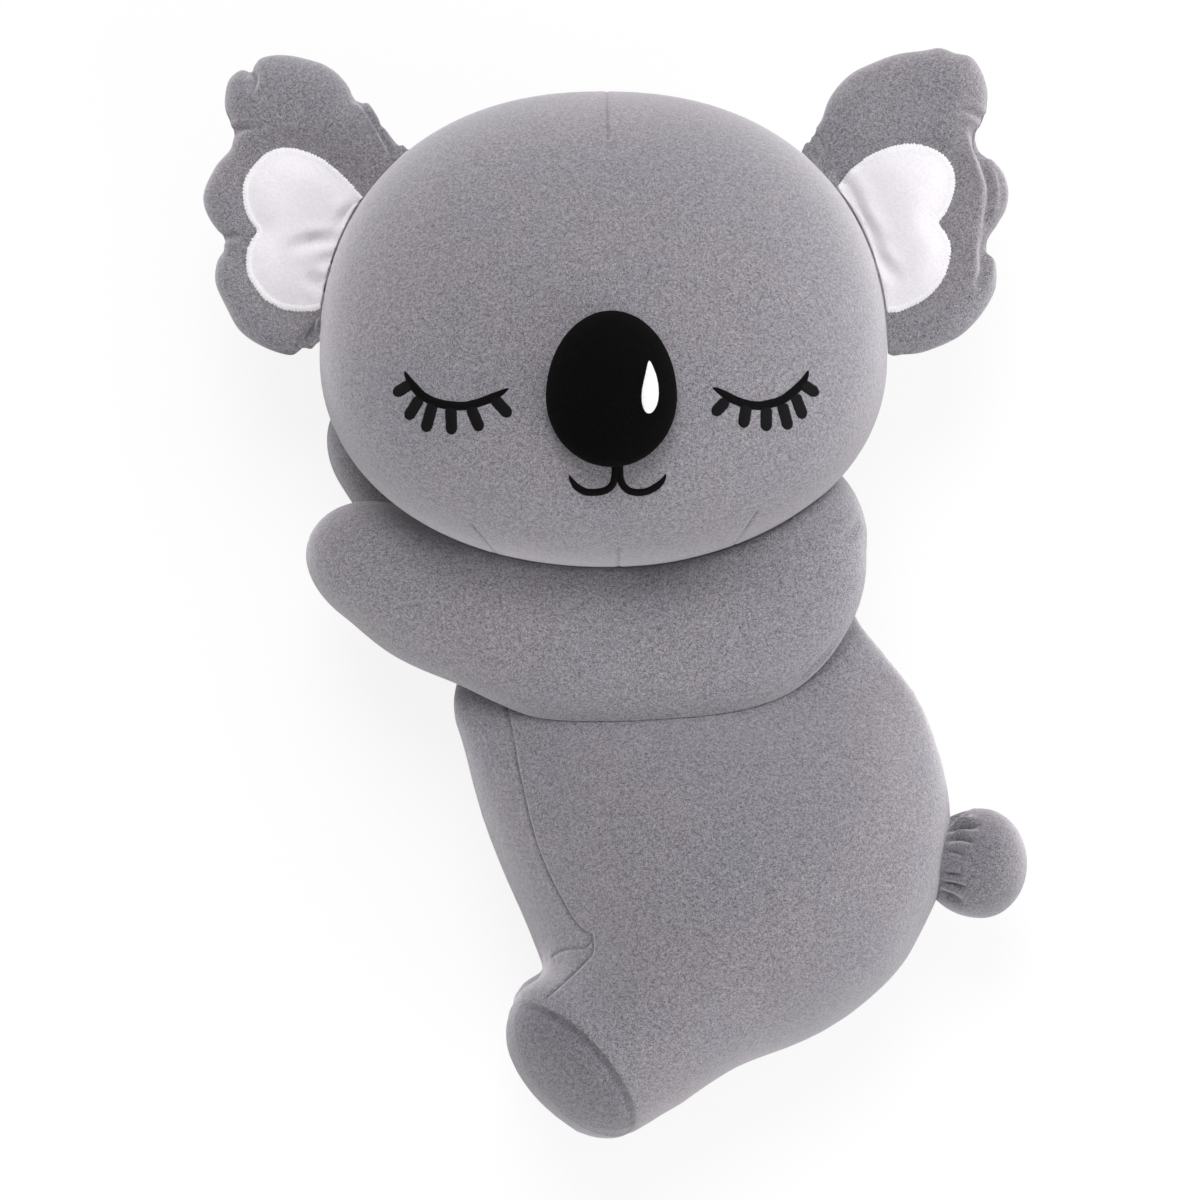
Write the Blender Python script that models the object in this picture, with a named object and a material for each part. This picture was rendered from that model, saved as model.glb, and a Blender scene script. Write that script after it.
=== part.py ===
"""A plush hugging koala that lies on its side with its face up. Metres, +Z up.

+X is the side of its back and tail, +Y is the crown of its head. "Near" is the side
that faces up, "far" is the side on the floor. The origin is on the floor, in the
middle of the toy's outline.
"""

import math

import bmesh
import bpy
from mathutils import Matrix, Vector

# Fabric, seams and clearances
CLOTH = 0.0014
GAP = 0.0003
FLOOR_CUT = 0.0005
OVERRUN = 0.03
THREAD_HEIGHT = 0.0013
APPLIQUE_HEIGHT = 0.0010

# Head: the widest row is at HEAD_Y, and the chin is raised by the lean
HEAD_WIDTH = 0.283
HEAD_CROWN = 0.1335
HEAD_CHIN = 0.1055
HEAD_DEPTH = 0.190
HEAD_X = -0.0058
HEAD_Y = 0.1180
HEAD_SEAM_SETBACK = 0.004
HEAD_LEAN_SHARE = 0.22
CROWN_POWER = 2.25
CHIN_POWER = 2.1
DOME_POWER = 2.2

# Torso: it runs from the neck end, inside the chin, down to the seat
TORSO_LENGTH = 0.300
TORSO_WIDTH = 0.235
TORSO_DEPTH = 0.145
TORSO_X = 0.049
NECK_END_Y = 0.061
SEAT_Y = NECK_END_Y - TORSO_LENGTH
NECK_ROUND = 0.030
SEAT_ROUND = 0.060
GUSSET_EDGE_X = 0.030
BACK_SEAM_SETBACK = 0.002

# Arms: REACH is from the shoulder's outer edge to the paw
ARM_REACH = 0.280
ARM_WIDTH = 0.090
ARM_THICKNESS = 0.066
NEAR_ARM_Z = 0.099
FAR_ARM_THICKNESS = 0.056
SHOULDER_X = 0.1257
SHOULDER_Y = 0.0058
SHOULDER_ROUND = 0.040
PAW_ROUND = 0.034

# Legs: the foot's anchor is the middle of its sole
LEG_LENGTH = 0.180
LEG_WIDTH = 0.098
LEG_THICKNESS = 0.080
FOOT_X = -0.0220
FOOT_ABOVE_SEAT = 0.004
FOOT_Y = SEAT_Y + FOOT_ABOVE_SEAT
FOOT_Z = 0.105
SOLE_ROUND = 0.011
SOLE_SEAM_SETBACK = 0.001
HIP_ROUND = 0.050

# Ears: SPAN is from the middle of the sewn root to the outer edge
EAR_SPAN = 0.080
EAR_HEIGHT = 0.149
EAR_PUFF = 0.027
EAR_ROOT = 0.0052
EAR_SWELL_RUN = 0.034
EAR_GAP = 0.0008
PATCH_GAP = 0.0016
LEFT_EAR_X = -0.1264
LEFT_EAR_Y = 0.1793
RIGHT_EAR_X = 0.1154
RIGHT_EAR_Y = 0.1708
PATCH_STITCH_WIDTH = 0.0024

# Nose: an egg that is widest at NOSE_Y
NOSE_WIDTH = 0.0640
NOSE_UPPER = 0.0423
NOSE_LOWER = 0.0345
NOSE_DEPTH = 0.046
NOSE_RISE = 0.024
NOSE_X = -0.0019
NOSE_Y = 0.0949
HIGHLIGHT_HEIGHT = 0.026
HIGHLIGHT_WIDTH = 0.0086
HIGHLIGHT_X = 0.0163
HIGHLIGHT_Y = 0.0990
HIGHLIGHT_TAPER_SHARE = 0.45

# Embroidery
EYE_WIDTH = 0.0512
EYE_INNER_X = 0.0490
EYE_INNER_Y = 0.0984
FACE_X = -0.0035
LID_THREAD = 0.0030
LASH_THREAD = 0.0046
THREAD_END_SHARE = 0.4
LASH_ROOT_SHARE = 0.42
LASH_TIP_ROUND_SHARE = 0.33
MOUTH_WIDTH = 0.0485
MOUTH_X = 0.0010
MOUTH_Y = 0.0513

# Tail: a gathered ball on the back
TAIL_WIDTH = 0.048
TAIL_HEIGHT = 0.054
TAIL_X = 0.1860
TAIL_ABOVE_SEAT = 0.103
TAIL_Y = SEAT_Y + TAIL_ABOVE_SEAT

# Stations from the neck to the seat: along the length, left edge, right edge, depth
TORSO_SHARES = (
    (0.000, -0.200, 0.150, 0.28),
    (0.084, -0.285, 0.219, 0.31),
    (0.151, -0.358, 0.269, 0.34),
    (0.240, -0.454, 0.306, 0.37),
    (0.369, -0.557, 0.434, 0.46),
    (0.475, -0.532, 0.490, 0.76),
    (0.582, -0.495, 0.514, 0.96),
    (0.671, -0.452, 0.505, 1.00),
    (0.738, -0.414, 0.473, 1.00),
    (0.806, -0.380, 0.430, 0.97),
    (0.900, -0.350, 0.370, 0.92),
    (1.000, -0.320, 0.320, 0.85),
)
# Half the belly gusset's width at shares of the torso's length, as shares of its depth
GUSSET_SHARES = (
    (0.10, 0.05), (0.37, 0.14), (0.475, 0.235), (0.582, 0.30), (0.72, 0.34), (0.86, 0.27), (0.95, 0.10),
)

# Stations from the shoulder to the paw: out, up, width, thickness, lift
NEAR_ARM_SHARES = (
    (-0.118, 0.229, 0.80, 0.80, -0.15),
    (-0.145, 0.089, 0.91, 0.90, -0.09),
    (-0.172, 0.000, 0.98, 0.97, -0.03),
    (-0.258, -0.075, 1.00, 1.00, 0.00),
    (-0.386, -0.108, 0.93, 1.00, 0.00),
    (-0.529, -0.093, 0.93, 1.00, 0.00),
    (-0.669, -0.047, 0.87, 1.00, -0.08),
    (-0.780, -0.018, 0.78, 0.97, -0.18),
    (-0.887, 0.036, 0.67, 0.91, -0.27),
    (-0.998, 0.071, 0.62, 0.85, -0.32),
)
FAR_ARM_SHARES = (
    (-0.060, 0.100, 0.60, 0.80, 0.00),
    (-0.135, 0.010, 0.72, 0.90, 0.00),
    (-0.275, -0.050, 0.80, 1.00, 0.00),
    (-0.455, -0.045, 0.78, 1.00, 0.00),
    (-0.640, 0.020, 0.73, 1.00, 0.00),
    (-0.775, 0.115, 0.66, 1.00, 0.00),
    (-0.872, 0.235, 0.60, 1.00, 0.00),
    (-0.935, 0.330, 0.56, 0.95, 0.00),
)

# Stations from the sole to the hip: across, up, lift, width, thickness
LEG_SHARES = (
    (-0.037, -0.033, 0.026, 0.90, 0.95),
    (0.000, 0.000, 0.000, 0.90, 0.95),
    (0.153, 0.096, -0.061, 0.99, 1.17),
    (0.358, 0.310, -0.094, 1.30, 1.33),
    (0.553, 0.476, -0.139, 1.20, 1.30),
    (0.719, 0.615, -0.167, 1.00, 0.90),
)

# Ear outlines from the root's top, out and round to its bottom: out, up
LEFT_EAR_SHARES = (
    (-0.23, 0.28), (-0.05, 0.42), (0.13, 0.51), (0.36, 0.58), (0.63, 0.59), (0.71, 0.54), (0.84, 0.52),
    (0.87, 0.42), (0.81, 0.34), (0.94, 0.20), (0.99, 0.10), (0.88, -0.01), (0.91, -0.13), (0.83, -0.26),
    (0.69, -0.36), (0.48, -0.41), (0.34, -0.38), (0.21, -0.28), (-0.06, -0.09), (-0.26, 0.13),
)
RIGHT_EAR_SHARES = (
    (-0.23, 0.36), (-0.17, 0.41), (-0.03, 0.56), (0.15, 0.62), (0.32, 0.66), (0.59, 0.68), (0.78, 0.65),
    (0.87, 0.59), (0.89, 0.49), (0.82, 0.40), (0.97, 0.27), (1.02, 0.18), (0.91, 0.06), (0.94, -0.06),
    (0.91, -0.16), (0.79, -0.25), (0.59, -0.33), (0.34, -0.35), (0.22, -0.30), (-0.09, -0.13),
    (-0.28, 0.17),
)
LEFT_PATCH_SHARES = (
    (0.06, 0.15), (0.18, 0.22), (0.35, 0.27), (0.53, 0.285), (0.67, 0.235), (0.745, 0.17), (0.745, 0.10),
    (0.66, 0.01), (0.725, -0.06), (0.71, -0.13), (0.63, -0.205), (0.48, -0.25), (0.32, -0.25),
    (0.18, -0.17), (-0.01, -0.02), (-0.09, 0.11),
)
RIGHT_PATCH_SHARES = (
    (-0.06, 0.17), (0.01, 0.25), (0.125, 0.30), (0.26, 0.34), (0.42, 0.36), (0.56, 0.34), (0.645, 0.30),
    (0.68, 0.23), (0.66, 0.155), (0.58, 0.095), (0.655, 0.02), (0.65, -0.065), (0.58, -0.125),
    (0.43, -0.18), (0.28, -0.195), (0.17, -0.165), (0.03, -0.065),
)
LEFT_EAR_MIDDLE_SHARES = (0.39, 0.10)
RIGHT_EAR_MIDDLE_SHARES = (0.41, 0.15)

# In eye widths: the closed lid from its inner end, and each lash's root along it with its tip
LID_SHARES = (
    (0.00, 0.00), (0.11, -0.07), (0.25, -0.125), (0.40, -0.16), (0.52, -0.16),
    (0.69, -0.13), (0.82, -0.07), (0.90, 0.01), (0.95, 0.085), (1.00, 0.17),
)
LASH_TIP_SHARES = (
    (0.10, 0.00, -0.25), (0.34, 0.28, -0.38), (0.52, 0.54, -0.41),
    (0.69, 0.79, -0.38), (0.80, 0.96, -0.27), (0.91, 1.09, -0.04),
)
# Half of the mouth's outline from the stem's top, round the smile's end: across, up
MOUTH_SHARES = (
    (0.045, 0.19), (0.040, 0.03), (0.115, -0.03), (0.225, -0.045), (0.36, 0.00), (0.490, 0.115),
    (0.510, 0.075), (0.375, -0.06), (0.225, -0.105), (0.10, -0.09), (0.0, -0.045),
)

# How finely the forms are faceted
HEAD_AROUND = 22
HEAD_BANDS = 11
TORSO_AROUND = 16
TORSO_RINGS = 14
LIMB_AROUND = 12
ARM_RINGS = 13
LEG_RINGS = 9
EAR_AROUND = 28
BALL_AROUND = 12
BALL_BANDS = 8
EAR_RING_SHARES = (0.45, 0.75, 0.93)
LID_PARTS = 24
HIGHLIGHT_PARTS = 16
PATH_PARTS = 200

# The joints' axes: the head's chin edge, both shoulders, both ear roots and the tail's root
CHIN_HINGE_Y = -0.0010
CHIN_HINGE_Z = 0.128
SHOULDER_HINGE_X = 0.1260
NEAR_SHOULDER_HINGE_Y = 0.0630
NEAR_SHOULDER_HINGE_Z = 0.064
FAR_SHOULDER_HINGE_Y = 0.0100
FAR_SHOULDER_HINGE_Z = 0.028
LEFT_EAR_HINGE_X = -0.1343
LEFT_EAR_HINGE_Y = 0.1825
RIGHT_EAR_HINGE_X = 0.1236
RIGHT_EAR_HINGE_Y = 0.1806
TAIL_HINGE_X = 0.1622
TAIL_HINGE_DROP = 0.020
TAIL_HINGE_Y = TAIL_Y - TAIL_HINGE_DROP

# The near arm swings about this direction, and it is cut clear of the torso at these angles
NEAR_SWING_WAY = (0.0, 0.866, 0.5)
NEAR_SWING_DEGREES = (0.7, 1.5, 2.4, 3.4, 4.6, 6.0, 7.4, 9, 12)

MID_Z = TORSO_DEPTH / 2 - FLOOR_CUT
FAR_ARM_Z = FAR_ARM_THICKNESS / 2 - FLOOR_CUT
REACH_ALL = HEAD_CROWN + HEAD_CHIN + TORSO_LENGTH


def clear_scene():
    for thing in list(bpy.data.objects):
        bpy.data.objects.remove(thing, do_unlink=True)


def make_material(name, colour, roughness):
    made = bpy.data.materials.new(name)
    made.use_nodes = True
    shader = made.node_tree.nodes["Principled BSDF"]
    shader.inputs["Base Color"].default_value = (*colour, 1.0)
    shader.inputs["Roughness"].default_value = roughness
    shader.inputs["Metallic"].default_value = 0.0
    return made


def add_object(name, points, faces, helper=True):
    """One mesh object. A helper is a cutter or a guide that the renders leave out."""
    mesh = bpy.data.meshes.new(name)
    mesh.from_pydata([tuple(point) for point in points], [], faces)
    made = bpy.data.objects.new(name, mesh)
    bpy.context.scene.collection.objects.link(made)
    shaper = bmesh.new()
    shaper.from_mesh(mesh)
    bmesh.ops.triangulate(shaper, faces=shaper.faces)
    bmesh.ops.recalc_face_normals(shaper, faces=shaper.faces)
    shaper.to_mesh(mesh)
    shaper.free()
    mesh.shade_smooth()
    if helper:
        made.hide_render = True
        made.display_type = "WIRE"
    return made


def cut(target, cutter, operation="DIFFERENCE", solver="EXACT"):
    step = target.modifiers.new(cutter.name, "BOOLEAN")
    step.operation = operation
    step.solver = solver
    step.object = cutter
    return target


def copy_of(source, name, helper=True):
    """The same mesh with the same cuts under another name."""
    made = source.copy()
    made.data = source.data.copy()
    made.name = name
    made.hide_render = helper
    made.display_type = "WIRE" if helper else "TEXTURED"
    bpy.context.scene.collection.objects.link(made)
    return made


def offset_of(source, name, distance):
    """The form's own mesh, without its cuts, grown by distance or shrunk where it is negative."""
    made = copy_of(source, name)
    made.modifiers.clear()
    shaper = bmesh.new()
    shaper.from_mesh(made.data)
    shaper.normal_update()
    moves = [vertex.normal * distance for vertex in shaper.verts]
    for vertex, move in zip(shaper.verts, moves):
        vertex.co += move
    shaper.to_mesh(made.data)
    shaper.free()
    return made


def turned_back(source, name, hinge, way, degrees):
    """The form's own mesh as a piece on the hinge meets it after it has turned by so many degrees."""
    made = copy_of(source, name)
    made.modifiers.clear()
    move = Matrix.Translation(hinge) @ Matrix.Rotation(-math.radians(degrees), 4, way)
    made.data.transform(move @ Matrix.Translation(-hinge))
    return made


def level_block(name, low, high):
    """All that lies between two heights."""
    sides = (-REACH_ALL, REACH_ALL)
    points = [(x, y, z) for x in sides for y in sides for z in (low, high)]
    faces = [(0, 1, 3, 2), (4, 6, 7, 5), (0, 4, 5, 1), (2, 3, 7, 6), (0, 2, 6, 4), (1, 5, 7, 3)]
    return add_object(name, points, faces)


def prism(name, outline, low, high, stand=lambda across, up, along: (across, up, along)):
    """A closed outline drawn out from low to high. stand turns its three numbers into a point."""
    count = len(outline)
    points = [stand(a, b, low) for a, b in outline] + [stand(a, b, high) for a, b in outline]
    faces = [tuple(range(count))[::-1], tuple(range(count, 2 * count))]
    faces += [(i, (i + 1) % count, (i + 1) % count + count, i + count) for i in range(count)]
    return add_object(name, points, faces)


def smooth_value(values, place):
    """A smooth run through evenly spaced values, read at place from 0 to 1."""
    last = len(values) - 1
    spot = min(max(place, 0.0), 1.0) * last
    i = min(int(spot), last - 1)
    t = spot - i
    a, b, c, d = (values[min(max(k, 0), last)] for k in (i - 1, i, i + 1, i + 2))
    slope_b = (c - a) / 2
    slope_c = (d - b) / 2
    cubed = (2 * b - 2 * c + slope_b + slope_c) * t**3
    squared = (3 * c - 3 * b - 2 * slope_b - slope_c) * t**2
    return cubed + squared + slope_b * t + b


def smooth_loop(outline, count):
    """count points spread round a smooth closed curve through the outline's own points."""
    wrapped = [outline[-2], outline[-1], *outline, outline[0], outline[1], outline[2]]
    steps = len(wrapped) - 1
    found = []
    for k in range(count):
        place = (2 + k * len(outline) / count) / steps
        found.append(tuple(smooth_value([p[axis] for p in wrapped], place) for axis in (0, 1)))
    return found


def superellipse(across, up, power):
    """How far the unit outline reaches in the direction of across and up."""
    return (abs(across) ** power + abs(up) ** power) ** (-1 / power)


def sweep_form(name, stations, around, rings, first_round, last_round, level=False):
    """A closed form through stations of (centre, half width, half depth), rounded at both ends.

    Level sections stay along X and Z. The others stand square to the line of centres.
    """
    centres = [station[0] for station in stations]
    path = [smooth_value(centres, k / PATH_PARTS) for k in range(PATH_PARTS + 1)]
    length = sum((b - a).length for a, b in zip(path, path[1:]))
    run = [0.0]
    for a, b in zip(path, path[1:]):
        run.append(run[-1] + (b - a).length)
    points = [path[0]]
    for k in range(1, rings):
        goal = length * (1 - math.cos(math.pi * k / rings)) / 2
        i = next(j for j, value in enumerate(run) if value >= goal)
        place = (i - (run[i] - goal) / (run[i] - run[i - 1])) / PATH_PARTS
        centre = smooth_value(centres, place)
        step = 2 / PATH_PARTS
        ahead = smooth_value(centres, place + step) - smooth_value(centres, place - step)
        across = Vector((1, 0, 0)) if level else Vector((-ahead.y, ahead.x, 0)).normalized()
        up = Vector((0, 0, 1)) if level else ahead.cross(across).normalized()
        shrink = 1.0
        for left, size in ((goal, first_round), (length - goal, last_round)):
            if left < size:
                shrink *= math.sqrt(1 - (1 - left / size) ** 2)
        half_width = smooth_value([s[1] for s in stations], place) * shrink
        half_depth = smooth_value([s[2] for s in stations], place) * shrink
        for j in range(around):
            turn = 2 * math.pi * j / around
            points.append(centre + across * half_width * math.cos(turn) + up * half_depth * math.sin(turn))
    points.append(path[-1])
    faces = []
    last = len(points) - 1
    for j in range(around):
        after = (j + 1) % around
        faces.append((0, 1 + j, 1 + after))
        tail = 1 + (rings - 2) * around
        faces.append((last, tail + after, tail + j))
        for k in range(rings - 2):
            here = 1 + k * around
            faces.append((here + j, here + around + j, here + around + after, here + after))
    return add_object(name, points, faces)


def ball_form(name, around, bands, place):
    """A closed form from its front pole to its back pole. place takes a turn, a reach and a height."""
    points = [place(0.0, 0.0, 1.0)]
    for k in range(1, bands):
        tilt = math.pi * k / bands
        for j in range(around):
            points.append(place(2 * math.pi * j / around, math.sin(tilt), math.cos(tilt)))
    points.append(place(0.0, 0.0, -1.0))
    faces = []
    last = len(points) - 1
    for j in range(around):
        after = (j + 1) % around
        faces.append((0, 1 + j, 1 + after))
        tail = 1 + (bands - 2) * around
        faces.append((last, tail + after, tail + j))
        for k in range(bands - 2):
            here = 1 + k * around
            faces.append((here + j, here + around + j, here + around + after, here + after))
    return add_object(name, points, faces)


def signed_power(value, power):
    return math.copysign(abs(value) ** power, value)


def head_reach(across, up):
    """From the middle of the head's widest row to its outline, in the direction of across and up."""
    high = HEAD_CROWN if up > 0 else HEAD_CHIN
    power = CROWN_POWER if up > 0 else CHIN_POWER
    return superellipse(across * high, up * HEAD_WIDTH / 2, power) * high * HEAD_WIDTH / 2


def away_from_head(x, y):
    """How far a place in plan lies outside the head's outline."""
    offset = Vector((x - HEAD_X, y - HEAD_Y))
    return offset.length - head_reach(*offset.normalized())


def head_place(turn, reach, height):
    across = math.cos(turn)
    up = math.sin(turn)
    out = head_reach(across, up) * reach ** (2 / DOME_POWER)
    y = up * out
    z = signed_power(height, 2 / DOME_POWER) * HEAD_DEPTH / 2 - y * HEAD_LEAN_SHARE
    return Vector((HEAD_X + across * out, HEAD_Y + y, z))


def make_head():
    """The head's form, let down until its back rests on the floor."""
    form = ball_form("head_form", HEAD_AROUND, HEAD_BANDS, head_place)
    lowest = min(vertex.co.z for vertex in form.data.vertices)
    for vertex in form.data.vertices:
        vertex.co.z -= lowest + FLOOR_CUT
    return form, -lowest - FLOOR_CUT


def make_torso():
    stations = []
    for along, left, right, depth in TORSO_SHARES:
        middle = TORSO_X + TORSO_WIDTH * (left + right) / 2
        centre = Vector((middle, NECK_END_Y - TORSO_LENGTH * along, MID_Z))
        stations.append((centre, TORSO_WIDTH * (right - left) / 2, TORSO_DEPTH * depth / 2))
    return sweep_form("torso_form", stations, TORSO_AROUND, TORSO_RINGS, NECK_ROUND, SEAT_ROUND, level=True)


def make_arm(name, shares, thickness, height):
    stations = []
    for out, up, wide, thick, lift in shares:
        x = SHOULDER_X + ARM_REACH * out
        y = SHOULDER_Y + ARM_REACH * up
        centre = Vector((x, y, height + thickness * lift))
        stations.append((centre, ARM_WIDTH * wide / 2, thickness * thick / 2))
    return sweep_form(name, stations, LIMB_AROUND, ARM_RINGS, SHOULDER_ROUND, PAW_ROUND)


def arm_seam_block(name, shares, thickness, height, sign):
    """All that lies above (sign 1) or below (sign -1) an arm's line of centres."""
    run = [(SHOULDER_X + ARM_REACH * row[0], height + thickness * row[4]) for row in shares]
    first, last = run[0], run[-1]
    outline = [(first[0] + ARM_REACH, first[1]), *run, (last[0] - ARM_REACH, last[1])]
    outline += [(last[0] - ARM_REACH, sign * REACH_ALL), (first[0] + ARM_REACH, sign * REACH_ALL)]
    return prism(name, outline, -REACH_ALL, REACH_ALL, lambda x, z, y: (x, y, z))


def make_leg(name, side):
    """side is 1 for the near leg and -1 for its twin across the torso's middle."""
    stations = []
    for out, up, lift, wide, thick in LEG_SHARES:
        rise = FOOT_Z + LEG_LENGTH * lift - MID_Z
        centre = Vector((FOOT_X + LEG_LENGTH * out, FOOT_Y + LEG_LENGTH * up, MID_Z + side * rise))
        stations.append((centre, LEG_WIDTH * wide / 2, LEG_THICKNESS * thick / 2))
    return sweep_form(name, stations, LIMB_AROUND, LEG_RINGS, SOLE_ROUND, HIP_ROUND)


def ear_point(side, share):
    """The place in plan of a share of the left (-1) or the right (1) ear."""
    x, y = (LEFT_EAR_X, LEFT_EAR_Y) if side < 0 else (RIGHT_EAR_X, RIGHT_EAR_Y)
    return x + side * EAR_SPAN * share[0], y + EAR_HEIGHT * share[1]


def make_ear(name, side, shares, middle_share, plane, grow=0.0):
    """A scalloped pillow that is thin where it is sewn to the head, all round larger by grow."""
    loop = inset_outline([ear_point(side, share) for share in smooth_loop(shares, EAR_AROUND)], -grow)
    middle = ear_point(side, middle_share)

    def at(spot, reach, sign):
        x = middle[0] + (spot[0] - middle[0]) * reach
        y = middle[1] + (spot[1] - middle[1]) * reach
        out = min(max(away_from_head(x, y) / EAR_SWELL_RUN, 0.0), 1.0)
        swell = EAR_ROOT + (EAR_PUFF - EAR_ROOT) * out * out * (3 - 2 * out) + 2 * grow
        z = plane(y) + sign * swell / 2 * math.sqrt(1 - reach**3)
        return Vector((x, y, z))

    points = [at(middle, 0.0, 1)]
    for reach in EAR_RING_SHARES:
        points += [at(spot, reach, 1) for spot in loop]
    points += [at(spot, 1.0, 1) for spot in loop]
    for reach in reversed(EAR_RING_SHARES):
        points += [at(spot, reach, -1) for spot in loop]
    points.append(at(middle, 0.0, -1))
    faces = []
    last = len(points) - 1
    rings = 2 * len(EAR_RING_SHARES) + 1
    for j in range(EAR_AROUND):
        after = (j + 1) % EAR_AROUND
        faces.append((0, 1 + j, 1 + after))
        tail = 1 + (rings - 1) * EAR_AROUND
        faces.append((last, tail + after, tail + j))
        for k in range(rings - 1):
            here = 1 + k * EAR_AROUND
            faces.append((here + j, here + EAR_AROUND + j, here + EAR_AROUND + after, here + after))
    return add_object(name, points, faces)


def inset_outline(outline, distance):
    """The outline moved inwards, for one that runs clockwise or anticlockwise."""
    area = sum(a[0] * b[1] - b[0] * a[1] for a, b in zip(outline, outline[1:] + outline[:1]))
    way = 1 if area > 0 else -1
    found = []
    for i, spot in enumerate(outline):
        before = outline[i - 1]
        after = outline[(i + 1) % len(outline)]
        along = Vector((after[0] - before[0], after[1] - before[1])).normalized()
        found.append((spot[0] - along.y * distance * way, spot[1] + along.x * distance * way))
    return found


def band_outline(outline, middle_x, width):
    """A band along the inside of a closed outline, open where the outline comes nearest to middle_x."""
    start = min(range(len(outline)), key=lambda i: abs(outline[i][0] - middle_x))
    inside = inset_outline(outline, width)
    outer_run = outline[start + 1 :] + outline[: start + 1]
    inner_run = inside[start + 1 :] + inside[: start + 1]
    return outer_run + inner_run[::-1]


def thread_outline(points, width):
    """Both edges of a thread that follows the points and narrows at both ends."""
    left = []
    right = []
    last = len(points) - 1
    for i, spot in enumerate(points):
        before = points[max(i - 1, 0)]
        after = points[min(i + 1, last)]
        along = Vector((after[0] - before[0], after[1] - before[1])).normalized()
        half = width / 2 * (THREAD_END_SHARE if i in (0, last) else 1.0)
        left.append((spot[0] - along.y * half, spot[1] + along.x * half))
        right.append((spot[0] + along.y * half, spot[1] - along.x * half))
    return left, right


def eye_outline(side):
    """The lid and its lashes as one outline. side is 1 for the eye at +X."""
    start = (FACE_X + side * EYE_INNER_X, EYE_INNER_Y)

    def spot(share):
        return start[0] + side * EYE_WIDTH * share[0], start[1] + EYE_WIDTH * share[1]

    lid = []
    for k in range(LID_PARTS + 1):
        lid.append(spot([smooth_value([p[axis] for p in LID_SHARES], k / LID_PARTS) for axis in (0, 1)]))
    edges = thread_outline(lid, LID_THREAD)
    upper, lower = edges if side > 0 else edges[::-1]
    outline = list(upper)
    lashes = sorted(LASH_TIP_SHARES, reverse=True)
    spread = LASH_THREAD / EYE_WIDTH * LASH_ROOT_SHARE
    k = LID_PARTS
    for place, tip_across, tip_up in lashes:
        first = round((place + spread) * LID_PARTS)
        second = round((place - spread) * LID_PARTS)
        while k > first:
            outline.append(lower[k])
            k -= 1
        root_a = Vector(lower[min(first, LID_PARTS)])
        root_b = Vector(lower[second])
        tip = Vector(spot((tip_across, tip_up)))
        along = (tip - (root_a + root_b) / 2).normalized()
        aside = Vector((-along.y, along.x)) * LASH_THREAD / 2
        if aside.dot(root_a - root_b) < 0:
            aside = -aside
        outline.append(tuple(root_a))
        rounding = along * LASH_THREAD * LASH_TIP_ROUND_SHARE
        outline.append(tuple(tip - rounding + aside))
        outline.append(tuple(tip + aside * LASH_TIP_ROUND_SHARE))
        outline.append(tuple(tip - aside * LASH_TIP_ROUND_SHARE))
        outline.append(tuple(tip - rounding - aside))
        outline.append(tuple(root_b))
        k = second - 1
    while k >= 0:
        outline.append(lower[k])
        k -= 1
    return outline


def mouth_outline():
    half = [(MOUTH_WIDTH * across, MOUTH_WIDTH * up) for across, up in MOUTH_SHARES]
    other = [(-across, up) for across, up in half[:-1]][::-1]
    return [(MOUTH_X + across, MOUTH_Y + up) for across, up in half + other]


def dress(thing, material, parent):
    """Gives a piece its fabric and hangs it on its joint's empty, where it stays in place."""
    thing.data.materials.clear()
    thing.data.materials.append(material)
    if parent:
        thing.parent = parent
        thing.matrix_parent_inverse = parent.matrix_world.inverted()
    return thing


def joint_empty(name, place):
    made = bpy.data.objects.new(name, None)
    made.location = place
    bpy.context.scene.collection.objects.link(made)
    bpy.context.view_layer.update()
    return made


def applique(name, shape, skin_low, skin_high):
    """A flat piece that lies on a form: what the shape cuts from the layer just above it."""
    made = copy_of(shape, name, helper=False)
    cut(made, skin_high, "INTERSECT")
    return cut(made, skin_low)


def slab(name, place, way):
    """A big block whose near face passes through place, and which lies on the side that way points to."""
    size = REACH_ALL
    aside = way.cross(Vector((0, 0, 1))).normalized()
    up = aside.cross(way).normalized()
    points = []
    for depth in (0.0, size):
        for a, b in ((-1, -1), (1, -1), (1, 1), (-1, 1)):
            points.append(place + way * depth + aside * a * size + up * b * size)
    faces = [(0, 1, 2, 3), (7, 6, 5, 4), (0, 4, 5, 1), (1, 5, 6, 2), (2, 6, 7, 3), (3, 7, 4, 0)]
    return add_object(name, points, faces)


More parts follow.
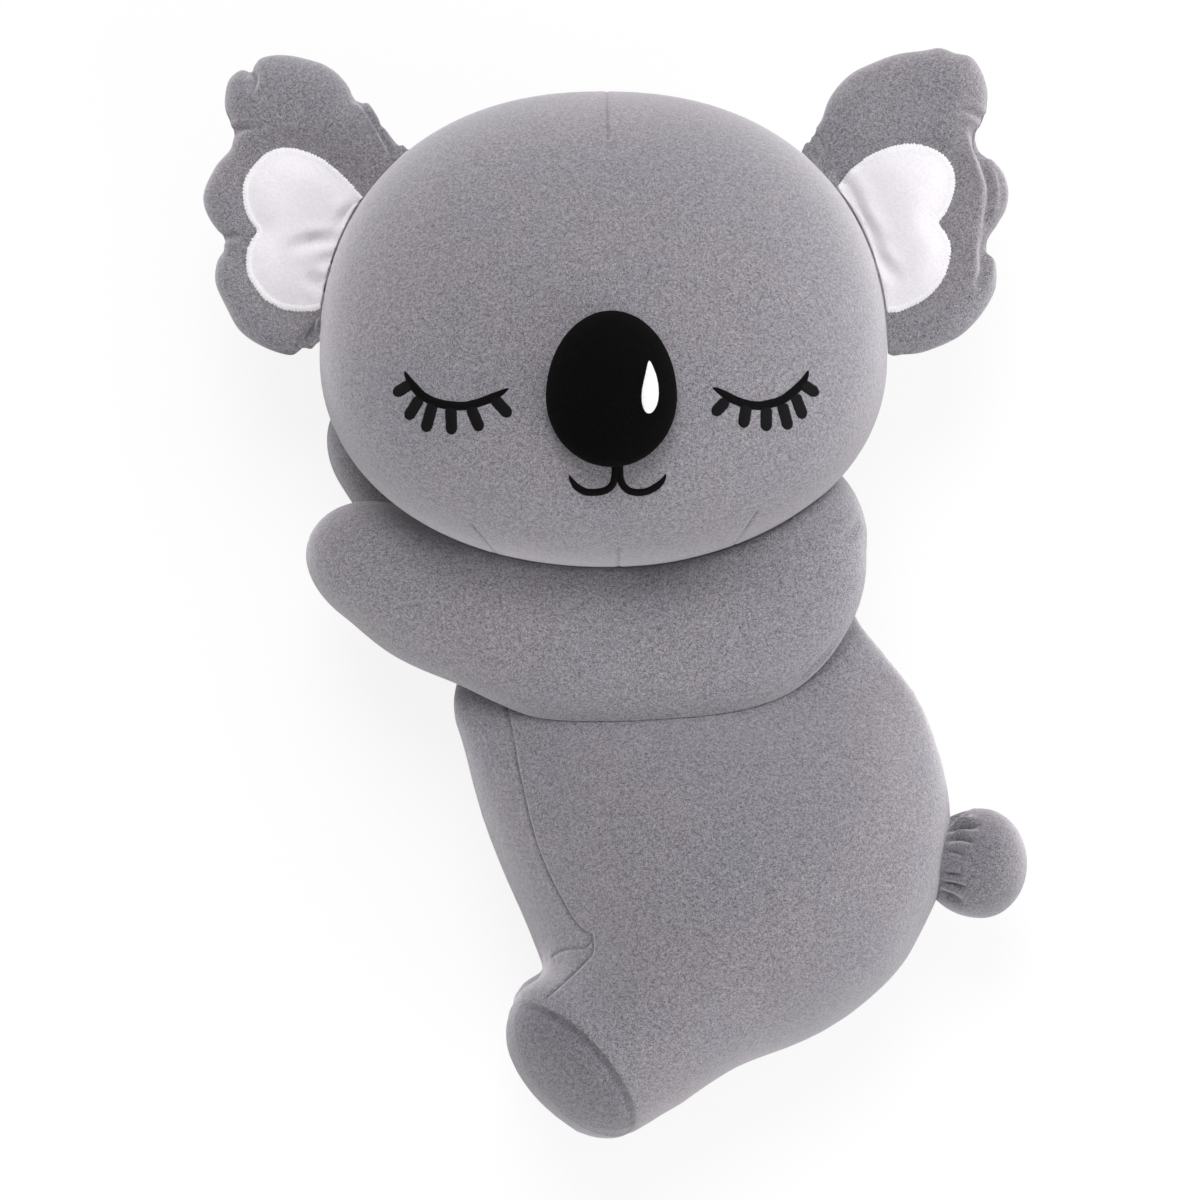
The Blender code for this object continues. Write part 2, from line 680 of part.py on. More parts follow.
def build():
    clear_scene()
    fur = make_material("grey_velvet", (0.29, 0.275, 0.30), 0.95)
    sole_fur = make_material("sole_velvet", (0.22, 0.20, 0.225), 0.95)
    white = make_material("white_velvet", (0.82, 0.79, 0.83), 0.95)
    satin = make_material("white_thread", (0.88, 0.87, 0.89), 0.5)
    black = make_material("black_velvet", (0.006, 0.006, 0.007), 0.9)
    thread = make_material("black_thread", (0.008, 0.008, 0.009), 0.6)
    filling = make_material("polyester_stuffing", (0.85, 0.85, 0.83), 1.0)

    far_side = REACH_ALL
    floor = level_block("floor_cut", -OVERRUN, 0.0)
    inner = GAP + CLOTH
    core = 2 * GAP + CLOTH
    layers = (GAP, inner, core)

    # Head
    head, head_z = make_head()
    head_grown = {rise: offset_of(head, f"head_grown_{k}", rise) for k, rise in enumerate(layers)}
    head_skin = offset_of(head, "head_cavity", -CLOTH)

    def head_plane(y):
        return head_z - (y - HEAD_Y) * HEAD_LEAN_SHARE

    def seam_wedge(name, level, sign):
        """All that lies above (sign 1) or below (sign -1) the head's leaning middle plane."""
        far_y = (HEAD_Y - far_side, HEAD_Y + far_side)
        outline = [(y, head_plane(y) + level) for y in far_y]
        outline += [(y, head_plane(y) + level + sign * far_side) for y in far_y[::-1]]
        return prism(name, outline, -far_side, far_side, lambda y, z, x: (x, y, z))

    above_seam = seam_wedge("head_above_seam", -HEAD_SEAM_SETBACK - GAP / 2, 1)
    below_seam = seam_wedge("head_below_seam", -HEAD_SEAM_SETBACK + GAP / 2, -1)
    neck_joint = joint_empty("neck_joint", (HEAD_X, CHIN_HINGE_Y, CHIN_HINGE_Z))
    for name, away in (("head_front_panel", below_seam), ("head_back_panel", above_seam)):
        panel = copy_of(head, name, helper=False)
        cut(panel, head_skin)
        cut(panel, away)
        cut(panel, floor)
        dress(panel, fur, neck_joint)
    dress(offset_of(head, "head_stuffing", -inner), filling, neck_joint).hide_render = False

    # Torso
    torso = make_torso()
    torso_grown = {rise: offset_of(torso, f"torso_grown_{k}", rise) for k, rise in enumerate(layers)}
    torso_skin = cut(offset_of(torso, "torso_cavity", -CLOTH), head_grown[inner])
    torso_core = offset_of(torso, "torso_stuffing", -inner)
    cut(torso_core, head_grown[core])
    dress(torso_core, filling, None).hide_render = False
    gusset_run = [(NECK_END_Y - TORSO_LENGTH * along, TORSO_DEPTH * half) for along, half in GUSSET_SHARES]

    def gusset_prism(name, extra):
        near_edge = [(y, MID_Z + half + extra) for y, half in gusset_run]
        far_edge = [(y, MID_Z - half - extra) for y, half in gusset_run[::-1]]
        low = -far_side
        return prism(name, near_edge + far_edge, low, GUSSET_EDGE_X + extra, lambda y, z, x: (x, y, z))

    gusset_shape = gusset_prism("gusset_shape", 0.0)
    gusset_hole = gusset_prism("gusset_hole", GAP)
    above_middle = level_block("above_middle", MID_Z - GAP / 2, far_side)
    below_middle = level_block("below_middle", -far_side, MID_Z + GAP / 2)
    back_seam = MID_Z + BACK_SEAM_SETBACK
    near_block = level_block("above_back_seam", back_seam - GAP / 2, far_side)
    far_block = level_block("below_back_seam", -far_side, back_seam + GAP / 2)
    for name, away in (("torso_near_panel", far_block), ("torso_far_panel", near_block)):
        panel = copy_of(torso, name, helper=False)
        cut(panel, head_grown[GAP])
        cut(panel, torso_skin)
        cut(panel, gusset_hole)
        cut(panel, away, solver="MANIFOLD")
        cut(panel, floor)
        dress(panel, fur, None)
    gusset = copy_of(torso, "belly_gusset", helper=False)
    cut(gusset, head_grown[GAP])
    cut(gusset, torso_skin)
    cut(gusset, gusset_shape, "INTERSECT")
    dress(gusset, fur, None)

    # Arms
    near_hinge = Vector((SHOULDER_HINGE_X, NEAR_SHOULDER_HINGE_Y, NEAR_SHOULDER_HINGE_Z))
    far_hinge = Vector((SHOULDER_HINGE_X, FAR_SHOULDER_HINGE_Y, FAR_SHOULDER_HINGE_Z))
    arms = (
        ("near", NEAR_ARM_SHARES, ARM_THICKNESS, NEAR_ARM_Z, near_hinge),
        ("far", FAR_ARM_SHARES, FAR_ARM_THICKNESS, FAR_ARM_Z, far_hinge),
    )
    for side, shares, thickness, height, hinge in arms:
        joint = joint_empty(f"{side}_shoulder_joint", hinge)
        form = make_arm(f"{side}_arm_form", shares, thickness, height)
        skin = offset_of(form, f"{side}_arm_cavity", -CLOTH)
        stuffing = offset_of(form, f"{side}_arm_stuffing", -inner)
        for target, rise in ((form, GAP), (skin, inner), (stuffing, core)):
            cut(target, head_grown[rise])
            cut(target, torso_grown[rise])
            if side == "near":
                for degrees in NEAR_SWING_DEGREES:
                    name = f"{target.name}_room_{degrees}"
                    cut(target, turned_back(torso_grown[rise], name, hinge, NEAR_SWING_WAY, degrees))
        if side == "far":
            cut(form, floor)
        dress(stuffing, filling, joint).hide_render = False
        upper = arm_seam_block(f"{side}_arm_upper", shares, thickness, height - GAP / 2, 1)
        lower = arm_seam_block(f"{side}_arm_lower", shares, thickness, height + GAP / 2, -1)
        outer_cut, inner_cut = (lower, upper) if side == "near" else (upper, lower)
        for name, away in ((f"{side}_arm_outer_panel", outer_cut), (f"{side}_arm_inner_panel", inner_cut)):
            panel = copy_of(form, name, helper=False)
            cut(panel, skin)
            cut(panel, away)
            dress(panel, fur, joint)

    # Legs
    for side, sign, away in (("near", 1, below_middle), ("far", -1, above_middle)):
        form = make_leg(f"{side}_leg_form", sign)
        skin = offset_of(form, f"{side}_leg_cavity", -CLOTH)
        stuffing = offset_of(form, f"{side}_leg_stuffing", -inner)
        cut(form, torso_grown[GAP])
        cut(form, away)
        for target, depth in ((skin, inner), (stuffing, core)):
            levels = sorted((-sign * far_side, MID_Z + sign * depth))
            cut(target, level_block(f"{target.name}_thigh_wall", *levels))
        cut(stuffing, torso_grown[core])
        dress(stuffing, filling, None).hide_render = False
        out = Vector(LEG_SHARES[0][:2] + (sign * LEG_SHARES[0][2],)).normalized()
        foot = Vector((FOOT_X, FOOT_Y, MID_Z + sign * (FOOT_Z - MID_Z))) + out * SOLE_SEAM_SETBACK
        sole_block = slab(f"{side}_sole_block", foot - out * GAP / 2, out)
        leg_block = slab(f"{side}_leg_block", foot + out * GAP / 2, -out)
        for name, keep, cloth in (
            (f"{side}_leg_cover", sole_block, fur),
            (f"{side}_foot_sole", leg_block, sole_fur),
        ):
            panel = copy_of(form, name, helper=False)
            cut(panel, skin)
            cut(panel, keep)
            dress(panel, cloth, None)

    # Ears
    left_hinge = (LEFT_EAR_HINGE_X, LEFT_EAR_HINGE_Y)
    right_hinge = (RIGHT_EAR_HINGE_X, RIGHT_EAR_HINGE_Y)
    ears = (
        ("left", -1, LEFT_EAR_SHARES, LEFT_EAR_MIDDLE_SHARES, LEFT_PATCH_SHARES, left_hinge),
        ("right", 1, RIGHT_EAR_SHARES, RIGHT_EAR_MIDDLE_SHARES, RIGHT_PATCH_SHARES, right_hinge),
    )
    root_cut = offset_of(head, "ear_root_cut", EAR_GAP)
    patch_cut = offset_of(head, "ear_patch_cut", PATCH_GAP)
    for side, sign, shares, middle, patch_shares, hinge in ears:
        joint = joint_empty(f"{side}_ear_joint", (*hinge, head_plane(hinge[1])))
        made = (sign, shares, middle, head_plane)
        form = make_ear(f"{side}_ear_form", *made)
        low = make_ear(f"{side}_ear_patch_low", *made, GAP)
        high = make_ear(f"{side}_ear_patch_high", *made, GAP + APPLIQUE_HEIGHT)
        stitch_high = make_ear(f"{side}_ear_stitch_high", *made, 2 * GAP + APPLIQUE_HEIGHT)
        skin = make_ear(f"{side}_ear_cavity", *made, -CLOTH)
        stuffing = make_ear(f"{side}_ear_stuffing", *made, -inner)
        cut(stuffing, head_grown[inner])
        dress(stuffing, filling, joint).hide_render = False
        cut(form, root_cut)
        above = seam_wedge(f"{side}_ear_above", -GAP / 2, 1)
        below = seam_wedge(f"{side}_ear_below", GAP / 2, -1)
        for name, away in ((f"{side}_ear_front_panel", below), (f"{side}_ear_back_panel", above)):
            panel = copy_of(form, name, helper=False)
            cut(panel, skin)
            cut(panel, away)
            dress(panel, fur, joint)
        outline = [ear_point(sign, share) for share in smooth_loop(patch_shares, EAR_AROUND)]

        def on_plane(across, up, rise):
            return across, up, head_plane(up) + rise

        band = band_outline(outline, HEAD_X, PATCH_STITCH_WIDTH)
        band_prism = prism(f"{side}_stitch_band", band, 0.0, EAR_PUFF, on_plane)
        patch_shape = inset_outline(outline, PATCH_STITCH_WIDTH + GAP)
        patch_prism = prism(f"{side}_patch_inside", patch_shape, 0.0, EAR_PUFF, on_plane)
        patch = applique(f"{side}_ear_patch", patch_prism, low, high)
        cut(patch, patch_cut)
        dress(patch, white, joint)
        stitching = applique(f"{side}_ear_patch_stitching", band_prism, low, stitch_high)
        cut(stitching, patch_cut)
        dress(stitching, satin, joint)

    # Nose
    nose_base = head_plane(NOSE_Y) + HEAD_DEPTH / 2 + NOSE_RISE - NOSE_DEPTH / 2

    def nose_place(turn, reach, height):
        across = math.cos(turn) * NOSE_WIDTH / 2
        up = math.sin(turn) * (NOSE_UPPER if math.sin(turn) > 0 else NOSE_LOWER)
        y = NOSE_Y + up * reach
        z = nose_base + height * NOSE_DEPTH / 2 - up * reach * HEAD_LEAN_SHARE
        return Vector((NOSE_X + across * reach, y, z))

    nose = ball_form("nose_form", BALL_AROUND, BALL_BANDS, nose_place)
    nose_skin = offset_of(nose, "nose_cavity", -CLOTH)
    nose_core = offset_of(nose, "nose_stuffing", -inner)
    cut(nose_core, head_grown[inner])
    dress(nose_core, filling, neck_joint).hide_render = False
    nose_cover = copy_of(nose, "nose_cover", helper=False)
    cut(nose_cover, head_grown[GAP])
    cut(nose_cover, nose_skin)
    dress(nose_cover, black, neck_joint)
    drop = []
    for k in range(HIGHLIGHT_PARTS):
        turn = 2 * math.pi * k / HIGHLIGHT_PARTS
        taper = 1 - HIGHLIGHT_TAPER_SHARE * max(math.sin(turn), 0.0)
        across = math.cos(turn) * HIGHLIGHT_WIDTH / 2 * taper
        drop.append((HIGHLIGHT_X + across, HIGHLIGHT_Y + math.sin(turn) * HIGHLIGHT_HEIGHT / 2))
    nose_top = nose_base + NOSE_DEPTH
    shape = prism("highlight_shape", drop, nose_base, nose_top)
    nose_low = offset_of(nose, "nose_grown_low", GAP)
    nose_high = offset_of(nose, "nose_grown_high", GAP + THREAD_HEIGHT)
    dress(applique("nose_highlight", shape, nose_low, nose_high), satin, neck_joint)

    # Embroidered face
    face_low = head_z
    face_high = head_z + HEAD_DEPTH
    thread_top = offset_of(head, "thread_top", GAP + THREAD_HEIGHT)
    faces = (
        ("left_eye_embroidery", eye_outline(-1)),
        ("right_eye_embroidery", eye_outline(1)),
        ("mouth_embroidery", mouth_outline()),
    )
    nose_grown = offset_of(nose, "nose_grown", GAP)
    for name, outline in faces:
        shape = prism(f"{name}_shape", outline, face_low, face_high)
        piece = applique(name, shape, head_grown[GAP], thread_top)
        if name.startswith("mouth"):
            cut(piece, nose_grown)
        dress(piece, thread, neck_joint)

    # Tail
    def tail_place(turn, reach, height):
        x = TAIL_X + math.cos(turn) * reach * TAIL_WIDTH / 2
        y = TAIL_Y + math.sin(turn) * reach * TAIL_HEIGHT / 2
        return Vector((x, y, MID_Z + height * TAIL_HEIGHT / 2))

    tail_joint = joint_empty("tail_joint", (TAIL_HINGE_X, TAIL_HINGE_Y, MID_Z))
    tail = ball_form("tail_form", BALL_AROUND, BALL_BANDS, tail_place)
    tail_skin = offset_of(tail, "tail_cavity", -CLOTH)
    tail_core = offset_of(tail, "tail_stuffing", -inner)
    cut(tail_core, torso_grown[inner])
    dress(tail_core, filling, tail_joint).hide_render = False
    tail_cover = copy_of(tail, "tail_cover", helper=False)
    cut(tail_cover, torso_grown[GAP])
    cut(tail_cover, tail_skin)
    dress(tail_cover, fur, tail_joint)


build()
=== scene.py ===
"""The looks of the plush koala: its fabric forms, seams, stitches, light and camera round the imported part.

Metres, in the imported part's frame: +Z is up and towards the face, +Y is the crown, +X is the back.
"""

import math

import bmesh
import bpy
import numpy as np
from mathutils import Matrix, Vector
from mathutils.bvhtree import BVHTree
from mathutils.kdtree import KDTree


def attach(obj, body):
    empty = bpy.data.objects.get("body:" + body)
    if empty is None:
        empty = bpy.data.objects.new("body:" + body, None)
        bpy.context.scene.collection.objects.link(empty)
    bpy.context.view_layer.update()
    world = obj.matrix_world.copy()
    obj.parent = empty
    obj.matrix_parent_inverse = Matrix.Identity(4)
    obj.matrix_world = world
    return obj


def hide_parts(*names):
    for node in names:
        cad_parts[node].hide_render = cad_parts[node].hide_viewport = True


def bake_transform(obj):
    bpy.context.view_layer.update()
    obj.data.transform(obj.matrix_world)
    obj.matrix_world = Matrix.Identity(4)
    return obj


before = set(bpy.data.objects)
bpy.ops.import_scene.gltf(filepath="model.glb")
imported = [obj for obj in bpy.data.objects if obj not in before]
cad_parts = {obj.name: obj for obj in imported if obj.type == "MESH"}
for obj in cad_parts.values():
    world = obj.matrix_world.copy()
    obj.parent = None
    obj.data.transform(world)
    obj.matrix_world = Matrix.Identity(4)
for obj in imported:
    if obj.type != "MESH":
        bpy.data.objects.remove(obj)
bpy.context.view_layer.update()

RNG = np.random.default_rng(7)

# The driving dimensions and share tables, as in the part's source
HEAD_WIDTH = 0.283
HEAD_CROWN = 0.1335
HEAD_CHIN = 0.1055
HEAD_DEPTH = 0.190
HEAD_X = -0.0058
HEAD_Y = 0.1180
HEAD_Z = 0.1002
HEAD_LEAN_SHARE = 0.22
HEAD_SEAM_SETBACK = 0.004
CROWN_POWER = 2.25
CHIN_POWER = 2.1
DOME_POWER = 2.2
TORSO_LENGTH = 0.300
TORSO_WIDTH = 0.235
TORSO_DEPTH = 0.145
TORSO_X = 0.049
NECK_END_Y = 0.061
NECK_ROUND = 0.030
SEAT_ROUND = 0.060
MID_Z = 0.072
ARM_REACH = 0.280
ARM_WIDTH = 0.090
ARM_THICKNESS = 0.066
NEAR_ARM_Z = 0.099
FAR_ARM_THICKNESS = 0.056
FAR_ARM_Z = 0.0275
SHOULDER_X = 0.1257
SHOULDER_Y = 0.0058
SHOULDER_ROUND = 0.040
PAW_ROUND = 0.034
LEG_LENGTH = 0.180
LEG_WIDTH = 0.098
LEG_THICKNESS = 0.080
FOOT_X = -0.0220
FOOT_Y = -0.2350
FOOT_Z = 0.105
SOLE_ROUND = 0.011
HIP_ROUND = 0.050
EAR_PUFF = 0.027
EAR_ROOT = 0.0052
EAR_SWELL_RUN = 0.034
PATCH_STITCH_WIDTH = 0.0024
NOSE_WIDTH = 0.0640
NOSE_UPPER = 0.0423
NOSE_LOWER = 0.0345
NOSE_DEPTH = 0.046
NOSE_RISE = 0.024
NOSE_X = -0.0019
NOSE_Y = 0.0949
TAIL_WIDTH = 0.048
TAIL_HEIGHT = 0.054
TAIL_X = 0.1860
TAIL_Y = -0.1360

TENTHS = 10000


def shares(columns, *thousandths):
    """Rows of shares of the driving dimensions, along a form."""
    return np.array(thousandths).reshape(-1, columns) / 1000


def trace(*tenths):
    """Places in plan, from the top of the toy, by their x and y in tenths of a millimetre."""
    return np.array(tenths).reshape(-1, 2) / TENTHS


def fold(depth, width, *tenths):
    """A fold's line in plan, its depth and its half width, all from tenths of a millimetre."""
    return trace(*tenths), depth / TENTHS, width / TENTHS


# Torso: along, left, right and depth. Arms: out, up, width, thickness and lift.
# Legs: out, up, lift, width and thickness.
TORSO_SHARES = shares(
    4,
    0, -200, 150, 280,  84, -285, 219, 310,  151, -358, 269, 340,  240, -454, 306, 370,  369, -557, 434, 460,
    475, -532, 490, 760,  582, -495, 514, 960,  671, -452, 505, 1000,  738, -414, 473, 1000,
    806, -380, 430, 970,  900, -350, 370, 920,  1000, -320, 320, 850,
)
NEAR_ARM_SHARES = shares(
    5,
    -118, 229, 800, 800, -150,  -145, 89, 910, 900, -90,  -172, 0, 980, 970, -30,  -258, -75, 1000, 1000, 0,
    -386, -108, 930, 1000, 0,  -529, -93, 930, 1000, 0,  -669, -47, 870, 1000, -80,
    -780, -18, 780, 970, -180,  -887, 36, 670, 910, -270,  -998, 71, 620, 850, -320,
)
FAR_ARM_SHARES = shares(
    5,
    -60, 100, 600, 800, 0,  -135, 10, 720, 900, 0,  -275, -50, 800, 1000, 0,  -455, -45, 780, 1000, 0,
    -640, 20, 730, 1000, 0,  -775, 115, 660, 1000, 0,  -872, 235, 600, 1000, 0,  -935, 330, 560, 950, 0,
)
LEG_SHARES = shares(
    5,
    -37, -33, 26, 900, 950,  0, 0, 0, 900, 950,  153, 96, -61, 990, 1170,  358, 310, -94, 1300, 1330,
    553, 476, -139, 1200, 1300,  719, 615, -167, 1000, 900,
)

# Seams and darts on the fabric
BODY_SEAMS = (
    trace(
        -580, -400, -544, -571, -509, -731, -479, -900, -414, -1180, -359, -1344, -275, -1519, -190, -1658,
        -115, -1708
    ),
    trace(-115, -1708, -110, -1753, -115, -1803, -155, -1848, -245, -1938, -329, -2023),
    trace(-314, -1823, -265, -1793, -205, -1778, -150, -1773, -115, -1738),
)
HEAD_DARTS = (
    trace(-40, 2505, -35, 2241),
    trace(19, 130, 19, 215),
    trace(-585, 180, -704, 329),
    trace(560, 185, 702, 398),
)
# The mouth's halves from the stem's top, the closed lids from left to right, and the lashes from root to tip
MOUTH_RIGHT = trace(
    22, 640, 23, 563, 37, 519, 67, 492, 111, 483, 159, 490, 203, 514, 233, 544, 247, 573
)
MOUTH_LEFT = trace(
    -1, 640, -2, 563, -16, 519, -51, 492, -104, 483, -148, 487, -187, 509, -212, 539, -226, 568
)
LID_LEFT = trace(
    -1035, 1080, -1011, 1036, -981, 996, -942, 957, -874, 923, -790, 908, -727, 908, -648, 928, -580, 957,
    -521, 991
)
LID_RIGHT = trace(
    474, 996, 518, 972, 567, 942, 631, 918, 694, 908, 758, 918, 817, 938, 871, 977, 920, 1026, 949, 1085
)
LASHES_LEFT = trace(
    -1006, 1016, -1080, 972, -957, 948, -1016, 855, -894, 918, -928, 796, -805, 899, -801, 781, -707, 899,
    -663, 796, -595, 943, -521, 864
).reshape(-1, 2, 2)
LASHES_RIGHT = trace(
    543, 933, 484, 869, 641, 909, 626, 811, 739, 899, 739, 796, 817, 918, 847, 806, 881, 963, 920, 860,
    920, 1016, 989, 972
).reshape(-1, 2, 2)
# The outlines of the ears and their patches
LEFT_EAR = trace(
    -980, 2118, -1051, 2236, -1086, 2246, -1111, 2271, -1136, 2302, -1177, 2343, -1202, 2394, -1238, 2450,
    -1278, 2465, -1314, 2485, -1344, 2547, -1395, 2608, -1461, 2654, -1537, 2680, -1623, 2700, -1709, 2705,
    -1789, 2685, -1834, 2623, -1889, 2626, -1944, 2577, -1963, 2491, -1958, 2419, -1921, 2322, -1931, 2230,
    -2005, 2139, -2062, 2017, -2061, 1931, -2022, 1849, -1966, 1778, -1960, 1713, -1995, 1647, -2001, 1546,
    -1947, 1424, -1876, 1303, -1760, 1223, -1625, 1180, -1560, 1213, -1520, 1210, -1480, 1253, -1376, 1349,
    -1253, 1652, -1079, 1925
)
LEFT_PATCH = trace(
    -1799, 2142, -1754, 2188, -1689, 2219, -1619, 2219, -1544, 2198, -1468, 2163, -1408, 2117, -1347, 2061,
    -1297, 2006, -1246, 1945, -1186, 1869, -1225, 1682, -1314, 1516, -1393, 1455, -1458, 1425, -1522, 1407,
    -1587, 1405, -1652, 1415, -1712, 1440, -1763, 1480, -1803, 1536, -1834, 1591, -1839, 1647, -1835, 1707,
    -1815, 1758, -1786, 1803, -1816, 1849, -1842, 1899, -1857, 1960, -1858, 2036, -1833, 2097
)
RIGHT_EAR = trace(
    879, 2017, 946, 2236, 981, 2266, 1007, 2322, 1042, 2383, 1073, 2470, 1124, 2547, 1195, 2613, 1286,
    2659, 1417, 2708, 1554, 2728, 1640, 2741, 1715, 2715, 1795, 2695, 1845, 2628, 1874, 2536, 1873, 2455,
    1852, 2373, 1817, 2307, 1831, 2220, 1896, 2164, 1950, 2098, 1974, 2007, 1953, 1905, 1887, 1799, 1866,
    1713, 1905, 1632, 1909, 1536, 1878, 1455, 1812, 1359, 1711, 1268, 1550, 1198, 1440, 1182, 1365, 1187,
    1276, 1308, 1152, 1510, 978, 1763
)
RIGHT_PATCH = trace(
    1056, 1935, 1117, 2021, 1178, 2102, 1273, 2178, 1369, 2221, 1464, 2241, 1544, 2234, 1624, 2201, 1679,
    2142, 1701, 2061, 1687, 1980, 1654, 1902, 1616, 1844, 1653, 1788, 1675, 1722, 1669, 1662, 1644, 1581,
    1603, 1516, 1538, 1460, 1457, 1417, 1377, 1400, 1293, 1425, 1184, 1521, 1115, 1667, 1075, 1808
)
LEFT_EAR_MIDDLE = (-0.1576, 0.1942)
RIGHT_EAR_MIDDLE = (0.1482, 0.1932)
LEFT_EAR_HINGE = (-0.1343, 0.1825)
RIGHT_EAR_HINGE = (0.1236, 0.1806)
LEFT_FOLDS = (
    fold(22, 11, -1310, 2468, -1270, 2448, -1214, 2366, -1174, 2300, -1118, 2178),
    fold(40, 28, -1566, 1204, -1527, 1264, -1492, 1320, -1468, 1395),
    fold(26, 16, -1829, 2616, -1808, 2580, -1823, 2509),
    fold(22, 20, -1921, 2300, -1866, 2326, -1801, 2326),
    fold(22, 20, -1966, 1773, -1916, 1778, -1866, 1794),
    fold(32, 34, -1277, 1976, -1317, 1910, -1376, 1849, -1426, 1839),
    fold(34, 30, -1325, 1758, -1451, 1758, -1550, 1743, -1655, 1708),
    fold(26, 28, -1340, 1647, -1415, 1667, -1495, 1647),
    fold(36, 34, -1394, 1506, -1474, 1541, -1544, 1597),
)
RIGHT_FOLDS = (
    fold(36, 23, 1797, 2326, 1830, 2214, 1879, 2036, 1872, 1920, 1851, 1794),
    fold(14, 16, 1860, 2199, 1915, 2102, 1933, 1986, 1907, 1859),
    fold(30, 23, 1851, 1778, 1845, 1698, 1839, 1607, 1808, 1516),
    fold(22, 20, 1857, 2372, 1792, 2407, 1732, 2417),
    fold(22, 14, 1004, 2311, 1038, 2260, 1058, 2184),
    fold(28, 34, 1081, 2153, 1143, 2064, 1205, 1975, 1260, 1893),
    fold(42, 34, 1127, 2031, 1197, 1925, 1290, 1784, 1376, 1709),
    fold(36, 30, 1230, 1809, 1290, 1724, 1368, 1614, 1446, 1554),
)
TAIL_FOLDS = (
    fold(39, 15, 1666, -1170, 1721, -1125, 1780, -1110),
    fold(33, 15, 1671, -1205, 1735, -1175, 1820, -1175),
    fold(27, 13.75, 1671, -1244, 1730, -1235, 1795, -1254),
    fold(30, 13.75, 1686, -1140, 1721, -1095, 1750, -1075),
    fold(21, 12.5, 1661, -1299, 1706, -1304, 1750, -1324),
    fold(18, 17.5, 1621, -1499, 1681, -1524, 1740, -1564),
    fold(21, 15, 1631, -1459, 1696, -1469, 1760, -1489),
    fold(21, 13.75, 1641, -1414, 1696, -1419, 1740, -1424),
)
ARM_FOLDS = (
    fold(14, 12, 1102, -222, 1067, -292, 982, -382, 888, -461),
    fold(14, 20, 1222, 357, 1177, 292, 1112, 252),
)

# Finish
FLOOR_GAP = 0.0002
HEAD_ROWS_BEFORE = 72
HEAD_ROWS_AFTER = 66
HEAD_SEAM_ROWS = 25
HEAD_SEAM_TURN = 0.075
TORSO_AROUND = 72
TRUNK_RINGS = 70
LEG_RINGS = 60
TORSO_VOXEL = 0.0042
MEET_SOFT = 0.014
SEWN_SWELL = 0.15
SEAM_MARK = 0.0007
SOLE_MARK = 0.0005
SIDE_SWELL = 0.3
SIDE_SWELL_OUT = 0.005
SIDE_SWELL_WIDTH = 0.0025
ARM_AROUND = 104
ARM_GATHER = 0.75
ARM_SEAM_DEPTH = 0.0011
CHIN_SWELL_REACH = 0.011
EAR_SEAM_DEPTH = 0.0006
EAR_SEAM_WIDTH = 0.0009
EAR_HEAD_GAP = 0.0006
PATCH_AROUND = 400
VALLEY_AROUND = 700
BORDER_AROUND = 900
PATCH_SINK = 0.0002
PATCH_HEAD_GAP = 0.0014
PATCH_VALLEY = 0.42
PATCH_VALLEY_WIDTH = 0.0085
BORDER_LIFT = 0.0006
BORDER_HEAD_GAP = 0.0016
RIDGE = 0.10
MOUTH_HALF = 0.0019
LID_HALF = 0.0023
LASH_HALF = 0.0031
HIGHLIGHT_HALF = 0.0041
HIGHLIGHT = trace(164, 1123, 171, 1040, 168, 950, 160, 862)
NOSE_HEAD_GAP = 0.0002
NOSE_AROUND = 140
NOSE_BANDS = 90
TAIL_AROUND = 260
TAIL_BANDS = 170
FLOOR_HALF = 8.0
# Each sun's name, strength, width and turns about x and y in degrees
SUNS = (("key", 1.75, 30, -34, -4), ("side", 0.75, 60, -45, 62), ("low", 2.40, 60, 38, 72))
TOUCH = 0.0004
TREE_REACH = 0.04
OVER_ALL_Z = 0.4
FACE_Z = 0.1
LINE_REACH = 0.012
FOLD_STEP = 0.0005
FOLD_REACH = 6
FOLD_UPPER_SIDE = -0.2
BROAD_FOLD = 0.0025
SEAM_DEPTH = 0.0012
SEAM_WIDTH = 0.0016
PATCH_RISE = 0.0010
STITCH_PITCH = 0.00045
STITCH_SINK = 0.00015
THREAD_RISE = 0.0009
BORDER_RISE = 0.0005
CHIN_SWELL = 0.007
LASH_LONGER = 0.12
ARM_FULLER = 0.0045
FILL_PRESSURE = 4.0
FILL_FRAMES = 20
FILL_EVENED = 12
FILL_MOST = 0.0025
FILL_NEAREST = 6
FILL_BLUR = 0.001
SOLE_SEAM_OUT = 0.0025
FOOT_DEPTH = 0.03
SOLE_DOME = 0.040
SOLE_RISE = 0.0215
SOLE_TUCK = 0.0005
SOLE_TUCK_WIDTH = 0.0008
SOLE_REACH = 0.062
SOLE_GROW = 0.035
SOLE_GROW_RUN = 0.024
RIM_ROUND = 0.019
TAIL_NEARER = 0.0017
TAIL_SLIMMER = 0.0008
TAIL_LOWER = 0.0008
TAIL_TALLER = 0.0006
TAIL_ROOT_LONGER = 1.3
TAIL_FOLD_FULL_SHADE_DEPTH = 0.0030
PATH_PARTS = 600
LOW_GLOSS = 0.05
PILE_DEPTH = 0.0007
THREAD_DEPTH = 0.0002
SEAM_AND_FOLD_SHADE = 0.62


def smooth_value(values, place):
    """A smooth run through evenly spaced rows, read at places from 0 to 1."""
    values = np.asarray(values, float)
    last = len(values) - 1
    spot = np.clip(np.asarray(place, float), 0.0, 1.0) * last
    i = np.minimum(spot.astype(int), last - 1)
    t = (spot - i)[..., None]
    a, b, c, d = (values[np.clip(k, 0, last)] for k in (i - 1, i, i + 1, i + 2))
    slope_b = (c - a) / 2
    slope_c = (d - b) / 2
    cubed = (2 * b - 2 * c + slope_b + slope_c) * t**3
    squared = (3 * c - 3 * b - 2 * slope_b - slope_c) * t**2
    return cubed + squared + slope_b * t + b


